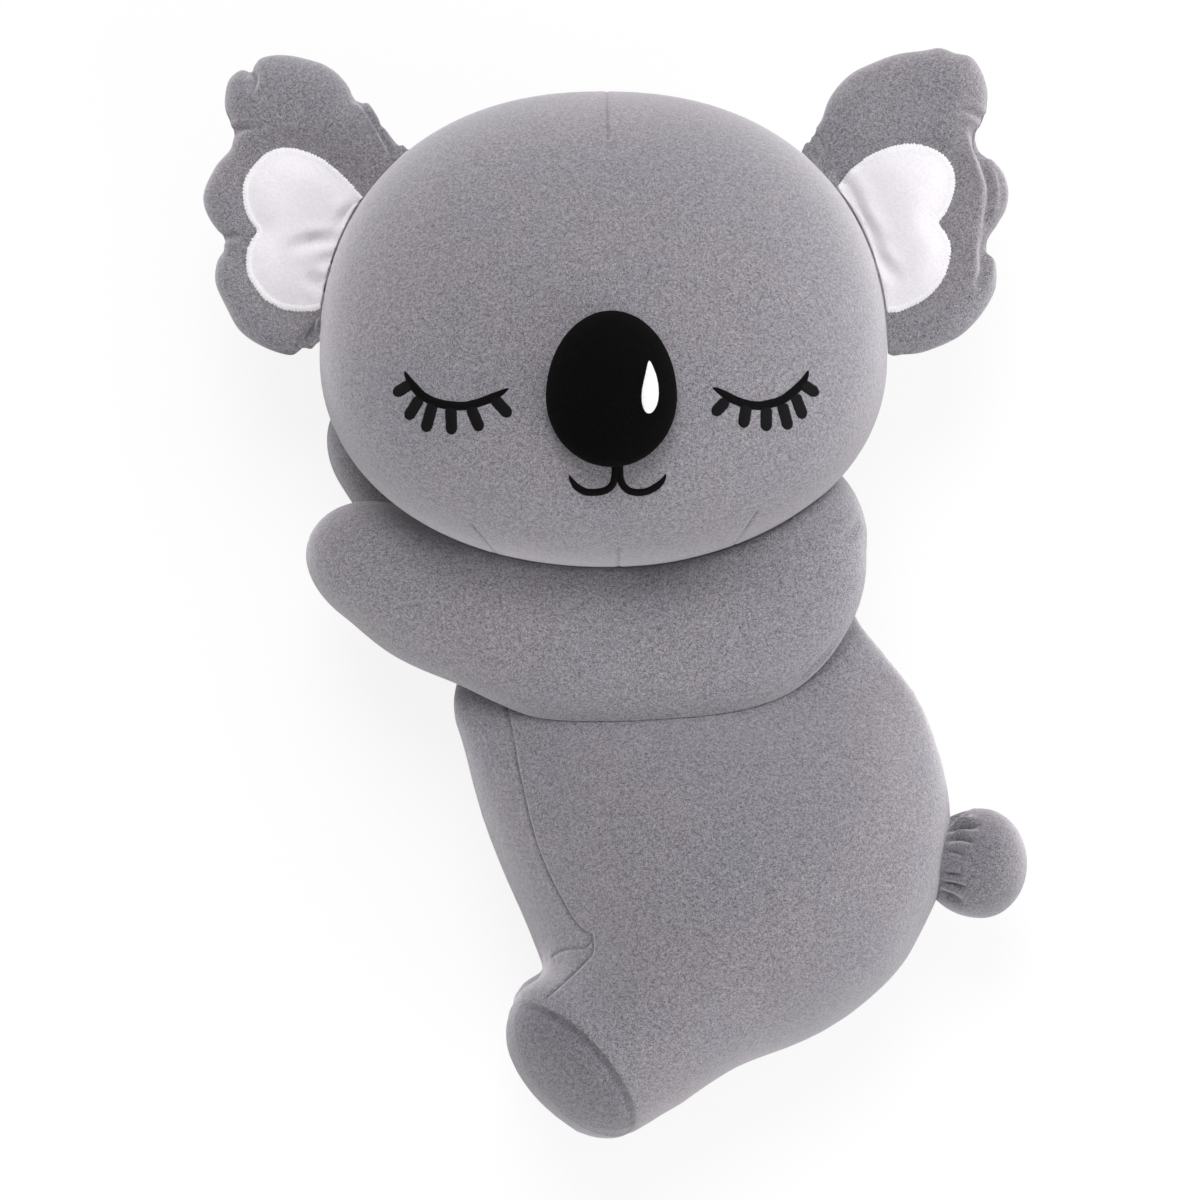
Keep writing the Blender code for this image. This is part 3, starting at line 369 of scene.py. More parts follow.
def smooth_loop(outline, count):
    """count points spread round a smooth closed curve through the outline's own points."""
    wrapped = [*outline[-2:], *outline, *outline[:3]]
    steps = len(wrapped) - 1
    return smooth_value(wrapped, (2 + np.arange(count) * len(outline) / count) / steps)


def even_run(points, spacing):
    """A smooth line through the points, as points a spacing apart."""
    fine = smooth_value(points, np.linspace(0, 1, PATH_PARTS))
    run = run_along(fine)
    return read_line(fine, run, np.linspace(0, run[-1], max(int(run[-1] / spacing), 2) + 1))


def step_up(value, low, high):
    """0 below low, 1 above high, and smooth between them."""
    share = np.clip((value - low) / (high - low), 0.0, 1.0)
    return share * share * (3 - 2 * share)


def bell(away, width):
    """1 at no distance, falling to nothing beyond twice the width."""
    return np.exp(-((away / width) ** 2))


def rounded(share):
    """A quarter of a round, from 0 at a share of 0 to level at 1."""
    return np.sqrt(1 - (1 - share) ** 2)


def sizes(vectors):
    return np.linalg.norm(vectors, axis=1)


def run_along(points):
    """How far along its line each point lies."""
    return np.concatenate([[0.0], np.cumsum(sizes(np.diff(points, axis=0)))])


def read_line(points, run, goals):
    return np.column_stack([np.interp(goals, run, column) for column in points.T])


def head_plane(y):
    return HEAD_Z - (y - HEAD_Y) * HEAD_LEAN_SHARE


def head_reach(across, up):
    """From the middle of the head's widest row to its outline, in the direction of across and up."""
    high = np.where(up > 0, HEAD_CROWN, HEAD_CHIN)
    power = np.where(up > 0, CROWN_POWER, CHIN_POWER)
    level = (np.abs(across) * 2 / HEAD_WIDTH) ** power + (np.abs(up) / high) ** power
    return level ** (-1 / power)


def head_level(points):
    """1 on the head's form, less inside it and more outside it."""
    x = points[:, 0] - HEAD_X
    y = points[:, 1] - HEAD_Y
    z = points[:, 2] - head_plane(points[:, 1])
    rho = np.hypot(x, y) + 1e-9
    reach = head_reach(x / rho, y / rho)
    return ((rho / reach) ** DOME_POWER + (np.abs(z) * 2 / HEAD_DEPTH) ** DOME_POWER) ** (1 / DOME_POWER)


def away_from_head(plan):
    """How far places in plan lie outside the head's outline."""
    x = plan[:, 0] - HEAD_X
    y = plan[:, 1] - HEAD_Y
    rho = np.hypot(x, y) + 1e-9
    return rho - head_reach(x / rho, y / rho)


def outside_head(plan, gap):
    """Moves places in plan that lie in the head's outline to its edge."""
    middle = np.array((HEAD_X, HEAD_Y))
    short = np.maximum(gap - away_from_head(plan), 0.0)
    out = plan - middle
    return plan + out / sizes(out)[:, None] * short[:, None]


def clear_of_head(points, gap=TOUCH):
    """Moves the points that lie in the head, or nearer to it than the gap, straight out of it."""
    points = points.copy()
    step = 1e-5
    rounds = 6
    for _ in range(rounds):
        level = head_level(points)
        slope = np.zeros_like(points)
        for axis in range(3):
            ahead = points.copy()
            ahead[:, axis] += step
            slope[:, axis] = (head_level(ahead) - level) / step
        size = sizes(slope) + 1e-9
        short = gap - (level - 1) / size
        points += slope / size[:, None] * np.maximum(short, 0.0)[:, None]
    return points


def read_rows(items, name, width, kind=float):
    flat = np.zeros(len(items) * width, kind)
    items.foreach_get(name, flat)
    return flat.reshape(-1, width)


def mesh_points(thing):
    return read_rows(thing.data.vertices, "co", 3)


def mesh_normals(thing):
    return read_rows(thing.data.vertex_normals, "vector", 3)


def set_points(thing, points):
    thing.data.vertices.foreach_set("co", np.asarray(points, np.float32).ravel())
    thing.data.update()


def press(thing, depth):
    """Moves each point in, against its normal."""
    set_points(thing, mesh_points(thing) - mesh_normals(thing) * np.asarray(depth)[:, None])


def set_value(thing, name, values):
    made = thing.data.attributes.get(name) or thing.data.attributes.new(name, "FLOAT", "POINT")
    made.data.foreach_set("value", np.asarray(values, np.float32))


def add_object(name, data):
    made = bpy.data.objects.new(name, data)
    bpy.context.scene.collection.objects.link(made)
    return made


def add_mesh(name, points, faces):
    mesh = bpy.data.meshes.new(name)
    mesh.from_pydata(np.asarray(points).tolist(), [], faces)
    made = add_object(name, mesh)
    shaper = bmesh.new()
    shaper.from_mesh(mesh)
    bmesh.ops.recalc_face_normals(shaper, faces=shaper.faces)
    shaper.to_mesh(mesh)
    shaper.free()
    mesh.shade_smooth()
    return made


def remove(thing):
    bpy.data.objects.remove(thing, do_unlink=True)


def apply_all(thing):
    """Makes the shape that the modifiers give the mesh's own."""
    graph = bpy.context.evaluated_depsgraph_get()
    graph.update()
    made = bpy.data.meshes.new_from_object(thing.evaluated_get(graph))
    thing.modifiers.clear()
    thing.data = made
    made.shade_smooth()


def new_skin(thing, voxel):
    """One closed skin round all that the mesh holds."""
    skin = thing.modifiers.new("skin", "REMESH")
    skin.mode = "VOXEL"
    skin.voxel_size = voxel
    apply_all(thing)


def ring_faces(rows, around, poles=True):
    """Faces of rows of points round a line, with one point before the first row and one after the last."""
    start = 1 if poles else 0
    faces = []
    for k in range(rows - 1):
        here = start + k * around
        for j in range(around):
            after = (j + 1) % around
            faces.append((here + j, here + around + j, here + around + after, here + after))
    if poles:
        last = start + rows * around
        tail = start + (rows - 1) * around
        for j in range(around):
            after = (j + 1) % around
            faces.append((0, 1 + j, 1 + after))
            faces.append((last, tail + after, tail + j))
    return faces


def sheet_faces(rows, columns):
    faces = []
    for k in range(rows - 1):
        for j in range(columns - 1):
            here = k * columns + j
            faces.append((here, here + columns, here + columns + 1, here + 1))
    return faces


def seam_turns(count, gather):
    """Turns round a section, closer together where it is widest."""
    turns = 2 * np.pi * np.arange(count) / count
    return turns - gather * np.sin(2 * turns) / 2


def sweep(stations, turns, rings, first_round, last_round, level=False):
    """A closed form through stations of centre, half width and half depth, as in the part's source."""
    stations = np.asarray(stations, float)
    path = smooth_value(stations[:, :3], np.linspace(0, 1, PATH_PARTS + 1))
    run = run_along(path)
    length = run[-1]
    goal = length * (1 - np.cos(np.pi * np.arange(1, rings) / rings)) / 2
    place = np.interp(goal, run, np.linspace(0, 1, PATH_PARTS + 1))
    rows = smooth_value(stations, place)
    step = 0.01
    ahead = smooth_value(stations[:, :3], place + step) - smooth_value(stations[:, :3], place - step)
    if level:
        across = np.tile([1.0, 0.0, 0.0], (len(place), 1))
        up = np.tile([0.0, 0.0, 1.0], (len(place), 1))
    else:
        across = np.column_stack([-ahead[:, 1], ahead[:, 0], np.zeros(len(place))])
        across /= sizes(across)[:, None]
        up = np.cross(ahead, across)
        up /= sizes(up)[:, None]
    shrink = np.ones(len(place))
    for left, size in ((goal, first_round), (length - goal, last_round)):
        shrink *= rounded(np.clip(left / size, 0.0, 1.0))
    wide = (rows[:, 3] * shrink)[:, None, None] * np.cos(turns)[None, :, None]
    deep = (rows[:, 4] * shrink)[:, None, None] * np.sin(turns)[None, :, None]
    points = rows[:, None, :3] + across[:, None, :] * wide + up[:, None, :] * deep
    points = np.vstack([path[:1], points.reshape(-1, 3), path[-1:]])
    return points, ring_faces(rings - 1, len(turns))


def joined(name, forms):
    """One mesh of several closed forms."""
    points = []
    faces = []
    for form_points, form_faces in forms:
        shift = len(points)
        points.extend(form_points.tolist())
        faces.extend([tuple(shift + k for k in face) for face in form_faces])
    return add_mesh(name, points, faces)


def edge_ends(thing):
    """The points at both ends of each edge, and the number of edges at each point."""
    a, b = read_rows(thing.data.edges, "vertices", 2, int).T
    count = len(thing.data.vertices)
    return a, b, np.bincount(a, minlength=count) + np.bincount(b, minlength=count)


def neighbour_mean(ends, values):
    """Each point's mean of its neighbours' values."""
    a, b, links = ends
    return (np.bincount(a, values[b], len(links)) + np.bincount(b, values[a], len(links))) / links


def relax(thing, rounds, share, weight=1.0):
    """Evens the surface out. A small share is followed by a negative one, which keeps the volume."""
    points = mesh_points(thing)
    ends = edge_ends(thing)
    strength = np.broadcast_to(np.asarray(weight, float), (len(points),))[:, None]
    for _ in range(rounds):
        for part in (share, -share * 1.03) if share < 0.6 else (share,):
            mean = np.column_stack([neighbour_mean(ends, column) for column in points.T])
            points += (mean - points) * part * strength
    set_points(thing, points)


def tree_of(thing):
    shaper = bmesh.new()
    shaper.from_mesh(thing.data)
    made = BVHTree.FromBMesh(shaper)
    shaper.free()
    return made


def clear_of_tree(points, tree):
    """Moves the points that lie inside a surface, or touch it, straight out of it."""
    points = points.copy()
    for k, spot in enumerate(points):
        place, normal, _, distance = tree.find_nearest(Vector(spot), TREE_REACH)
        if place is None:
            continue
        outside = (Vector(spot) - place).dot(normal)
        if outside < 0 or (outside < TOUCH and distance < TOUCH):
            points[k] = place + normal * TOUCH
    return points


def distance_to_lines(points, lines):
    """The distance from each point to the nearest of several runs of points, or 1 where all are far."""
    best = np.full(len(points), 1.0)
    for line in lines:
        for a, b in zip(line[:-1], line[1:]):
            along = b - a
            near = sizes(points - (a + b) / 2) < np.linalg.norm(along) / 2 + LINE_REACH
            if not near.any():
                continue
            offset = points[near] - a
            share = np.clip(offset @ along / max(along @ along, 1e-12), 0, 1)
            best[near] = np.minimum(best[near], sizes(offset - share[:, None] * along))
    return best


def refine(thing, lines, near):
    """Splits the faces close to the lines."""
    split_faces(thing, distance_to_lines(mesh_points(thing), lines) < near)


def split_faces(thing, close):
    """Splits the faces of which the points are marked as close."""
    shaper = bmesh.new()
    shaper.from_mesh(thing.data)
    shaper.verts.ensure_lookup_table()
    edges = [e for e in shaper.edges if close[e.verts[0].index] and close[e.verts[1].index]]
    bmesh.ops.subdivide_edges(shaper, edges=edges, cuts=1, use_grid_fill=True)
    shaper.to_mesh(thing.data)
    shaper.free()
    thing.data.shade_smooth()


def sew(thing, lines, depth, width):
    """Draws the fabric in along the lines, with a soft swell on both sides, and marks the seams."""
    away = distance_to_lines(mesh_points(thing), lines)
    swell = bell(away - 3 * width, 1.6 * width) * SEWN_SWELL
    press(thing, depth * (bell(away, width) - swell))
    mark_seam(thing, away)


def mark_seam(thing, away, width=SEAM_MARK):
    made = thing.data.attributes.get("seam")
    values = bell(away, width)
    if made:
        values = np.maximum(read_rows(made.data, "value", 1, np.float32)[:, 0], values)
    set_value(thing, "seam", values)


def side_seam(away):
    """How far a seam round the edge draws its fabric in, as a share, with a soft swell beside it."""
    return bell(away, SEAM_WIDTH) - SIDE_SWELL * bell(away - SIDE_SWELL_OUT, SIDE_SWELL_WIDTH)


def point_tree(points):
    made = KDTree(len(points))
    for k, spot in enumerate(points):
        made.insert(spot, k)
    made.balance()
    return made


def plan_gaps(line, plan):
    """For each place in plan, the number of the line's nearest point and its distance."""
    found = point_tree([(*spot, 0.0) for spot in line])
    hits = [found.find((spot[0], spot[1], 0.0)) for spot in plan]
    return np.array([hit[1] for hit in hits]), np.array([hit[2] for hit in hits])


def press_folds(thing, folds):
    """Presses folds into a piece's upper side, and returns how deep each point went."""
    points = mesh_points(thing)
    normals = mesh_normals(thing)
    push = np.zeros(len(points))
    for line, depth, width in folds:
        run = even_run(line, FOLD_STEP)
        reach = FOLD_REACH * width
        near = (points[:, :2] > run.min(axis=0) - reach) & (points[:, :2] < run.max(axis=0) + reach)
        near = np.flatnonzero(near.all(axis=1) & (normals[:, 2] > FOLD_UPPER_SIDE))
        if len(near) == 0:
            continue
        spot, away = plan_gaps(run, points[near])
        fade = np.sin(np.pi * (spot + 0.5) / len(run)) ** (0.5 if width < BROAD_FOLD else 1.2)
        swell = bell(away - 2 * width, 0.9 * width) * SIDE_SWELL
        push[near] += depth * fade * (bell(away, width) - swell)
    set_points(thing, points - normals * push[:, None])
    return push


def fill_out(thing, seams, voxel, slack=0.0):
    """Lets the filling push the fabric out between its seams: cloth under pressure, on a coarse copy."""
    copy = add_object("filling_copy", thing.data.copy())
    new_skin(copy, voxel)
    start = mesh_points(copy)
    normals = mesh_normals(copy)
    sewn = np.flatnonzero(distance_to_lines(start, seams) < voxel)
    copy.vertex_groups.new(name="sewn").add(sewn.tolist(), 1.0, "REPLACE")
    cloth = copy.modifiers.new("filling", "CLOTH")
    cloth.settings.use_pressure = True
    cloth.settings.uniform_pressure_force = FILL_PRESSURE
    cloth.settings.effector_weights.gravity = 0
    cloth.settings.vertex_group_mass = "sewn"
    cloth.collision_settings.use_collision = False
    for frame_number in range(1, FILL_FRAMES + 1):
        bpy.context.scene.frame_set(frame_number)
    apply_all(copy)
    push = np.einsum("ij,ij->i", mesh_points(copy) - start, normals)
    found = point_tree(start)
    points = mesh_points(thing)
    share = np.empty(len(points))
    push = np.clip(push, 0, FILL_MOST)
    ends = edge_ends(copy)
    for _ in range(FILL_EVENED):
        push = (push + neighbour_mean(ends, push)) / 2
        push[sewn] = 0
    for k, spot in enumerate(points):
        hits = found.find_n(spot, FILL_NEAREST)
        weights = np.array([1 / (hit[2] + FILL_BLUR) for hit in hits])
        share[k] = (weights * push[[hit[1] for hit in hits]]).sum() / weights.sum()
    press(thing, slack - share)
    remove(copy)
    bpy.context.scene.frame_set(1)


def lay(tree, plan):
    """Where places in plan lie on a surface below them, with the surface's direction there."""
    spots = []
    ways = []
    for x, y in plan:
        place, normal, _, _ = tree.ray_cast(Vector((x, y, OVER_ALL_Z)), Vector((0, 0, -1)))
        if place is None:
            place, normal, _, _ = tree.find_nearest(Vector((x, y, FACE_Z)))
        spots.append(place)
        ways.append(normal)
    return np.array(spots), np.array(ways)


def satin(name, tree, runs, columns=9, teeth=0.05, period=0.0006, height=THREAD_RISE):
    """Rows of satin stitches: strips along runs of (plan points, half widths), domed, one ridge a stitch."""
    points = []
    faces = []
    marks = []
    v = np.linspace(-1, 1, columns)
    dome = np.sqrt(1 - v**2)
    for plan, halves in runs:
        count = len(plan)
        steps = np.arange(count) * STITCH_PITCH / 2
        ahead = np.gradient(plan, axis=0)
        ahead /= sizes(ahead)[:, None]
        aside = np.column_stack([-ahead[:, 1], ahead[:, 0]])
        turn = 2 * np.pi * steps / period
        wave = np.column_stack([np.sin(turn), np.cos(turn)])
        ragged = 1 + teeth * (wave + 0.5 * RNG.standard_normal((count, 2)))
        halves = np.asarray(halves)
        reach = halves[:, None] * v[None, :] * np.where(v[None, :] < 0, ragged[:, :1], ragged[:, 1:])
        spread = plan[:, None, :] + aside[:, None, :] * reach[:, :, None]
        base, ways = lay(tree, spread.reshape(-1, 2))
        fade = np.clip(halves / (0.6 * halves.max()), 0, 1)
        ridge = 1 + RIDGE * np.where(np.arange(count) % 2, 1, -1)
        rise = (height * fade * ridge)[:, None] * dome[None, :] - STITCH_SINK
        shift = len(points)
        points.extend((base + ways * rise.reshape(-1, 1)).tolist())
        faces.extend([tuple(shift + k for k in face) for face in sheet_faces(count, columns)])
        marks.extend(np.repeat(steps, columns).tolist())
    made = add_mesh(name, points, faces)
    set_value(made, "along", marks)
    return made


def stub(root, tip, half):
    """A rounded run from root to tip with its half widths, for one lash."""
    tip = tip + (tip - root) * LASH_LONGER
    plan = even_run([root, tip], STITCH_PITCH / 2)
    run = np.linspace(0, np.linalg.norm(tip - root), len(plan))
    last = rounded(np.clip((run[-1] - run) / (half * 1.1), 0, 1))
    first = rounded(np.clip(run / (half * 0.9) + 0.25, 0, 1))
    return plan, half * np.maximum(last * first, 0.08)


def line_run(points, half, ends):
    """A run along a line that narrows to points over a share of its length at each end."""
    plan = even_run(points, STITCH_PITCH / 2)
    share = np.linspace(0, 1, len(plan))
    first = np.clip(share / ends[0], 0, 1) if ends[0] else 1.0
    last = np.clip((1 - share) / ends[1], 0, 1)
    return plan, half * np.maximum(np.sqrt(first * last), 0.1)


# Materials


def link(tree, a, b):
    tree.links.new(a, b)


def set_inputs(node, values):
    for name, value in values.items():
        node.inputs[name].default_value = value


def add_noise(tree, where, scale, detail, rough=0.5):
    made = tree.nodes.new("ShaderNodeTexNoise")
    set_inputs(made, {"Scale": scale, "Detail": detail, "Roughness": rough})
    link(tree, where.outputs["Object"], made.inputs["Vector"])
    return made.outputs["Fac"]


def add_range(tree, value, low, high, to_low, to_high):
    made = tree.nodes.new("ShaderNodeMapRange")
    set_inputs(made, {"From Min": low, "From Max": high, "To Min": to_low, "To Max": to_high})
    link(tree, value, made.inputs["Value"])
    return made.outputs["Result"]


def add_math(tree, way, a, b):
    made = tree.nodes.new("ShaderNodeMath")
    made.operation = way
    for socket, value in zip(made.inputs, (a, b)):
        if isinstance(value, (int, float)):
            socket.default_value = value
        else:
            link(tree, value, socket)
    return made.outputs[0]


def add_scaled(tree, colour, value):
    """The colour times a value from nodes."""
    made = tree.nodes.new("ShaderNodeVectorMath")
    made.operation = "SCALE"
    if isinstance(colour, tuple):
        made.inputs[0].default_value = colour
    else:
        link(tree, colour, made.inputs[0])
    link(tree, value, made.inputs["Scale"])
    return made.outputs[0]


def new_material(name, roughness, sheen, sheen_roughness, tint):
    made = bpy.data.materials.new(name)
    made.use_nodes = True
    shader = made.node_tree.nodes["Principled BSDF"]
    set_inputs(shader, {"Roughness": roughness, "Sheen Weight": sheen, "Sheen Roughness": sheen_roughness})
    set_inputs(shader, {"Sheen Tint": (*tint, 1.0), "Specular IOR Level": LOW_GLOSS})
    return made, made.node_tree, shader


def add_mark(tree, name):
    made = tree.nodes.new("ShaderNodeAttribute")
    made.attribute_name = name
    return made.outputs["Fac"]


def add_relief(tree, shader, height, strength, distance):
    made = tree.nodes.new("ShaderNodeBump")
    set_inputs(made, {"Strength": strength, "Distance": distance})
    link(tree, height, made.inputs["Height"])
    link(tree, made.outputs["Normal"], shader.inputs["Normal"])


def velvet(name, colours, grain, sheen):
    """Short-pile velvet: grain from the pile's tips, mottled where it is brushed, darker at the seams, and
    with painted shade where a fold is marked.
    """
    made, tree, shader = new_material(name, 1.0, sheen, 0.5, (1.0, 0.96, 1.0))
    set_inputs(shader, {"Diffuse Roughness": 0.8})
    where = tree.nodes.new("ShaderNodeTexCoord")
    tips = add_noise(tree, where, 2200, 2.0, 0.75)
    tufts = add_noise(tree, where, 620, 2.0)
    brushed = add_noise(tree, where, 13, 4.0, 0.6)
    tone = add_math(tree, "ADD", add_range(tree, tips, 0.40, 0.60, -grain, grain), 1.0)
    tone = add_math(tree, "ADD", tone, add_range(tree, tufts, 0.36, 0.64, -grain * 0.3, grain * 0.3))
    # The seam mark darkens the seams, and on the tail it carries painted shade in the folds
    shade = add_range(tree, add_mark(tree, "seam"), 0.0, 1.0, 1.0, SEAM_AND_FOLD_SHADE)
    tone = add_math(tree, "MULTIPLY", tone, shade)
    mottled = tree.nodes.new("ShaderNodeMix")
    mottled.data_type = "RGBA"
    link(tree, add_range(tree, brushed, 0.35, 0.65, 0.0, 1.0), mottled.inputs["Factor"])
    for k, colour in zip((6, 7), colours):
        mottled.inputs[k].default_value = (*colour, 1.0)
    link(tree, add_scaled(tree, mottled.outputs[2], tone), shader.inputs["Base Color"])
    add_relief(tree, shader, add_math(tree, "ADD", tips, tufts), 0.45, PILE_DEPTH)
    return made


def thread(name, colour, roughness):
    """Satin embroidery thread: ridges across the row, one a stitch, each a little lighter or darker."""
    made, tree, shader = new_material(name, roughness, 0.0, 0.3, (1.0, 1.0, 1.0))
    turn = add_math(tree, "MULTIPLY", add_mark(tree, "along"), 2 * math.pi / STITCH_PITCH)
    ridge = add_math(tree, "SINE", turn, 0.0)
    where = tree.nodes.new("ShaderNodeTexCoord")
    fibres = add_noise(tree, where, 900, 3.0)
    shades = (add_range(tree, ridge, -1, 1, 0.95, 1.0), add_range(tree, fibres, 0.3, 0.7, -0.04, 0.03))
    tone = add_math(tree, "ADD", *shades)
    link(tree, add_scaled(tree, colour, tone), shader.inputs["Base Color"])
    add_relief(tree, shader, add_math(tree, "ADD", ridge, fibres), 0.5, THREAD_DEPTH)
    return made


GREY = velvet("grey_velvet_pile", ((0.258, 0.250, 0.280), (0.280, 0.260, 0.281)), 0.60, 0.85)
# A darker copy of the grey velvet for the torso and legs: painted shade
SHADED_BODY_VELVET = velvet("body_velvet_pile_painted_shade", ((0.236, 0.229, 0.260), (0.256, 0.238, 0.260)), 0.60, 1.0)
# A still darker copy of the grey velvet for the tail: painted shade
SHADED_TAIL_VELVET = velvet("tail_velvet_pile_painted_shade", ((0.206, 0.199, 0.228), (0.222, 0.206, 0.227)), 0.60, 0.85)
SOLE = velvet("sole_velvet_pile", ((0.178, 0.173, 0.202), (0.194, 0.182, 0.203)), 0.60, 0.8)
WHITE = velvet("white_velvet_pile", ((0.850, 0.832, 0.868), (0.868, 0.835, 0.865)), 0.06, 0.3)
BLACK = velvet("black_velvet_pile", ((0.0022, 0.0022, 0.0026), (0.0030, 0.0028, 0.0030)), 0.5, 0.0)
WHITE_THREAD = thread("white_satin_thread", (0.98, 0.96, 0.98), 0.6)
BLACK_THREAD = thread("black_satin_thread", (0.0035, 0.0035, 0.0040), 0.6)
LASH_THREAD = thread("lash_satin_thread", (0.0085, 0.0085, 0.0095), 0.55)


def dress(thing, material, replaced):
    thing.data.materials.clear()
    thing.data.materials.append(material)
    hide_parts(*replaced)


def on_floor(points):
    """Nothing sinks into the floor: what would is spread on it."""
    points = points.copy()
    points[:, 2] = np.maximum(points[:, 2], FLOOR_GAP)
    return points


def head_surface(turns, tilts):
    """Points on the head's form, by the turn round its outline and the tilt from its front."""
    across = np.cos(turns)
    up = np.sin(turns)
    out = head_reach(across, up) * np.sin(tilts) ** (2 / DOME_POWER)
    front = np.cos(tilts)
    lift = np.sign(front) * np.abs(front) ** (2 / DOME_POWER) * HEAD_DEPTH / 2
    height = lift + HEAD_Z - up * out * HEAD_LEAN_SHARE
    return np.stack([HEAD_X + across * out, HEAD_Y + up * out, height], axis=-1)


def dart_line(tree, line):
    """A dart's line on the head, from the seam round the head's edge inwards."""
    x = line[0][0] - HEAD_X
    y = line[0][1] - HEAD_Y
    rho = math.hypot(x, y)
    tilt = math.asin(min(float(rho / head_reach(x / rho, y / rho)), 1.0) ** (DOME_POWER / 2))
    side = head_surface(math.atan2(y, x), np.linspace(HEAD_SEAM_TILT, tilt, 24))
    return np.vstack([side, lay(tree, even_run(line, 0.002))[0]])


# Head: rows of points lie closer together at the seam behind its widest line
HEAD_SEAM_TILT = math.acos(-((HEAD_SEAM_SETBACK * 2 / HEAD_DEPTH) ** (DOME_POWER / 2)))


def head_rows():
    near_seam = HEAD_SEAM_TILT + np.linspace(-1, 1, HEAD_SEAM_ROWS) * HEAD_SEAM_TURN
    before = np.linspace(0, near_seam[0], HEAD_ROWS_BEFORE)[1:-1]
    after = np.linspace(near_seam[-1], math.pi, HEAD_ROWS_AFTER)[1:-1]
    return np.concatenate([before, near_seam, after])


def make_head():
    tilts = head_rows()
    around = 300
    turns = 2 * np.pi * np.arange(around) / around
    rows = head_surface(turns[None, :], tilts[:, None]).reshape(-1, 3)
    poles = [(HEAD_X, HEAD_Y, HEAD_Z + HEAD_DEPTH / 2), (HEAD_X, HEAD_Y, HEAD_Z - HEAD_DEPTH / 2)]
    points = np.vstack([poles[:1], rows, poles[1:]])
    head = add_mesh("head_cover", points, ring_faces(len(tilts), around))
    smooth_tree = tree_of(head)
    darts = [dart_line(smooth_tree, line) for line in HEAD_DARTS]
    seam_row = HEAD_ROWS_BEFORE + HEAD_SEAM_ROWS // 2 - 1
    ring = rows[seam_row * around:(seam_row + 1) * around:6]
    fill_out(head, [ring, *darts], voxel=0.006)
    for near in (0.009, 0.006):
        refine(head, darts, near)
    points = mesh_points(head)
    seam = np.abs(points[:, 2] - head_plane(points[:, 1]) + HEAD_SEAM_SETBACK)
    inside = away_from_head(points[:, :2]) > -0.02
    seam = np.where(inside, seam, 1.0)
    press(head, SEAM_DEPTH * side_seam(seam))
    set_value(head, "seam", bell(seam, SEAM_MARK))
    sew(head, darts, depth=0.0005, width=0.0009)
    set_points(head, on_floor(mesh_points(head)))
    dress(head, GREY, ("head_front_panel", "head_back_panel", "head_stuffing"))
    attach(head, "head")
    return head


# Torso and legs: one skin, with the seams drawn in afterwards
def torso_stations():
    along, left, right, depth = TORSO_SHARES.T
    middle = TORSO_X + TORSO_WIDTH * (left + right) / 2
    half = TORSO_WIDTH * (right - left) / 2
    y = NECK_END_Y - TORSO_LENGTH * along
    return np.column_stack([middle, y, 0 * y + MID_Z, half, TORSO_DEPTH * depth / 2])


def leg_stations(side):
    out, up, lift, wide, thick = LEG_SHARES.T
    x = FOOT_X + LEG_LENGTH * out
    y = FOOT_Y + LEG_LENGTH * up
    z = MID_Z + side * (FOOT_Z + LEG_LENGTH * lift - MID_Z)
    return np.column_stack([x, y, z, LEG_WIDTH * wide / 2, LEG_THICKNESS * thick / 2])


def sole_plane(side):
    out = Vector((*LEG_SHARES[0][:2], side * LEG_SHARES[0][2])).normalized()
    return np.array((FOOT_X, FOOT_Y, MID_Z + side * (FOOT_Z - MID_Z))), np.array(out)


def make_torso():
    turns = 2 * np.pi * np.arange(TORSO_AROUND) / TORSO_AROUND
    trunk = sweep(torso_stations(), turns, TRUNK_RINGS, NECK_ROUND, SEAT_ROUND, level=True)
    legs = [sweep(leg_stations(side), turns, LEG_RINGS, SOLE_ROUND, HIP_ROUND) for side in (1, -1)]
    trees = []
    for forms in ([trunk], legs):
        alone = joined("alone", forms)
        trees.append(tree_of(alone))
        remove(alone)
    torso = joined("torso_and_legs_cover", [trunk, *legs])
    new_skin(torso, TORSO_VOXEL)
    relax(torso, 8, 0.5)
    points = mesh_points(torso)
    meet = np.array([max(tree.find_nearest(Vector(spot))[3] for tree in trees) for spot in points])
    crease = points[:, 0] + 0.35 * (points[:, 1] + 0.17) < 0.005
    relax(torso, 26, 0.9, bell(meet, MEET_SOFT) * np.where(crease, 0.35, 1.0))
    fill_out(torso, torso_lines(torso), voxel=0.006, slack=0.0006)
    set_points(torso, clear_of_head(mesh_points(torso)))
    torso.modifiers.new("finer", "SUBSURF").levels = 1
    apply_all(torso)
    set_points(torso, on_floor(clear_of_head(mesh_points(torso))))
    for near in (0.007, 0.004):
        for side in (1, -1):
            away, aside = sole_place(mesh_points(torso), side)
            split_faces(torso, (np.abs(away) < near) & (aside < SOLE_REACH))
    cut_sole(torso, "near", 1)
    cut_sole(torso, "far", -1)
    lines = torso_lines(torso)
    for near in (0.008, 0.005):
        refine(torso, lines, near)
    sew(torso, lines, depth=0.0007, width=0.0008)
    edge_seam(torso, 1)
    edge_seam(torso, -1)
    replaced = ["torso_near_panel", "torso_far_panel", "belly_gusset", "torso_stuffing"]
    replaced += [f"{side}_{kind}" for side in ("near", "far") for kind in ("leg_cover", "leg_stuffing")]
    dress(torso, SHADED_BODY_VELVET, replaced)
    return torso


def torso_lines(torso):
    tree = tree_of(torso)
    lines = []
    for line in BODY_SEAMS:
        near = lay(tree, even_run(line, 0.003))[0]
        far = near.copy()
        far[:, 2] = 2 * MID_Z - far[:, 2]
        lines += [near, far]
    return lines


def sole_place(points, side):
    """How far points lie out from the plane of the sole's seam, and aside from its middle."""
    centre, out = sole_plane(side)
    offset = points - centre
    level = offset @ out
    return level - SOLE_SEAM_OUT, sizes(offset - level[:, None] * out)


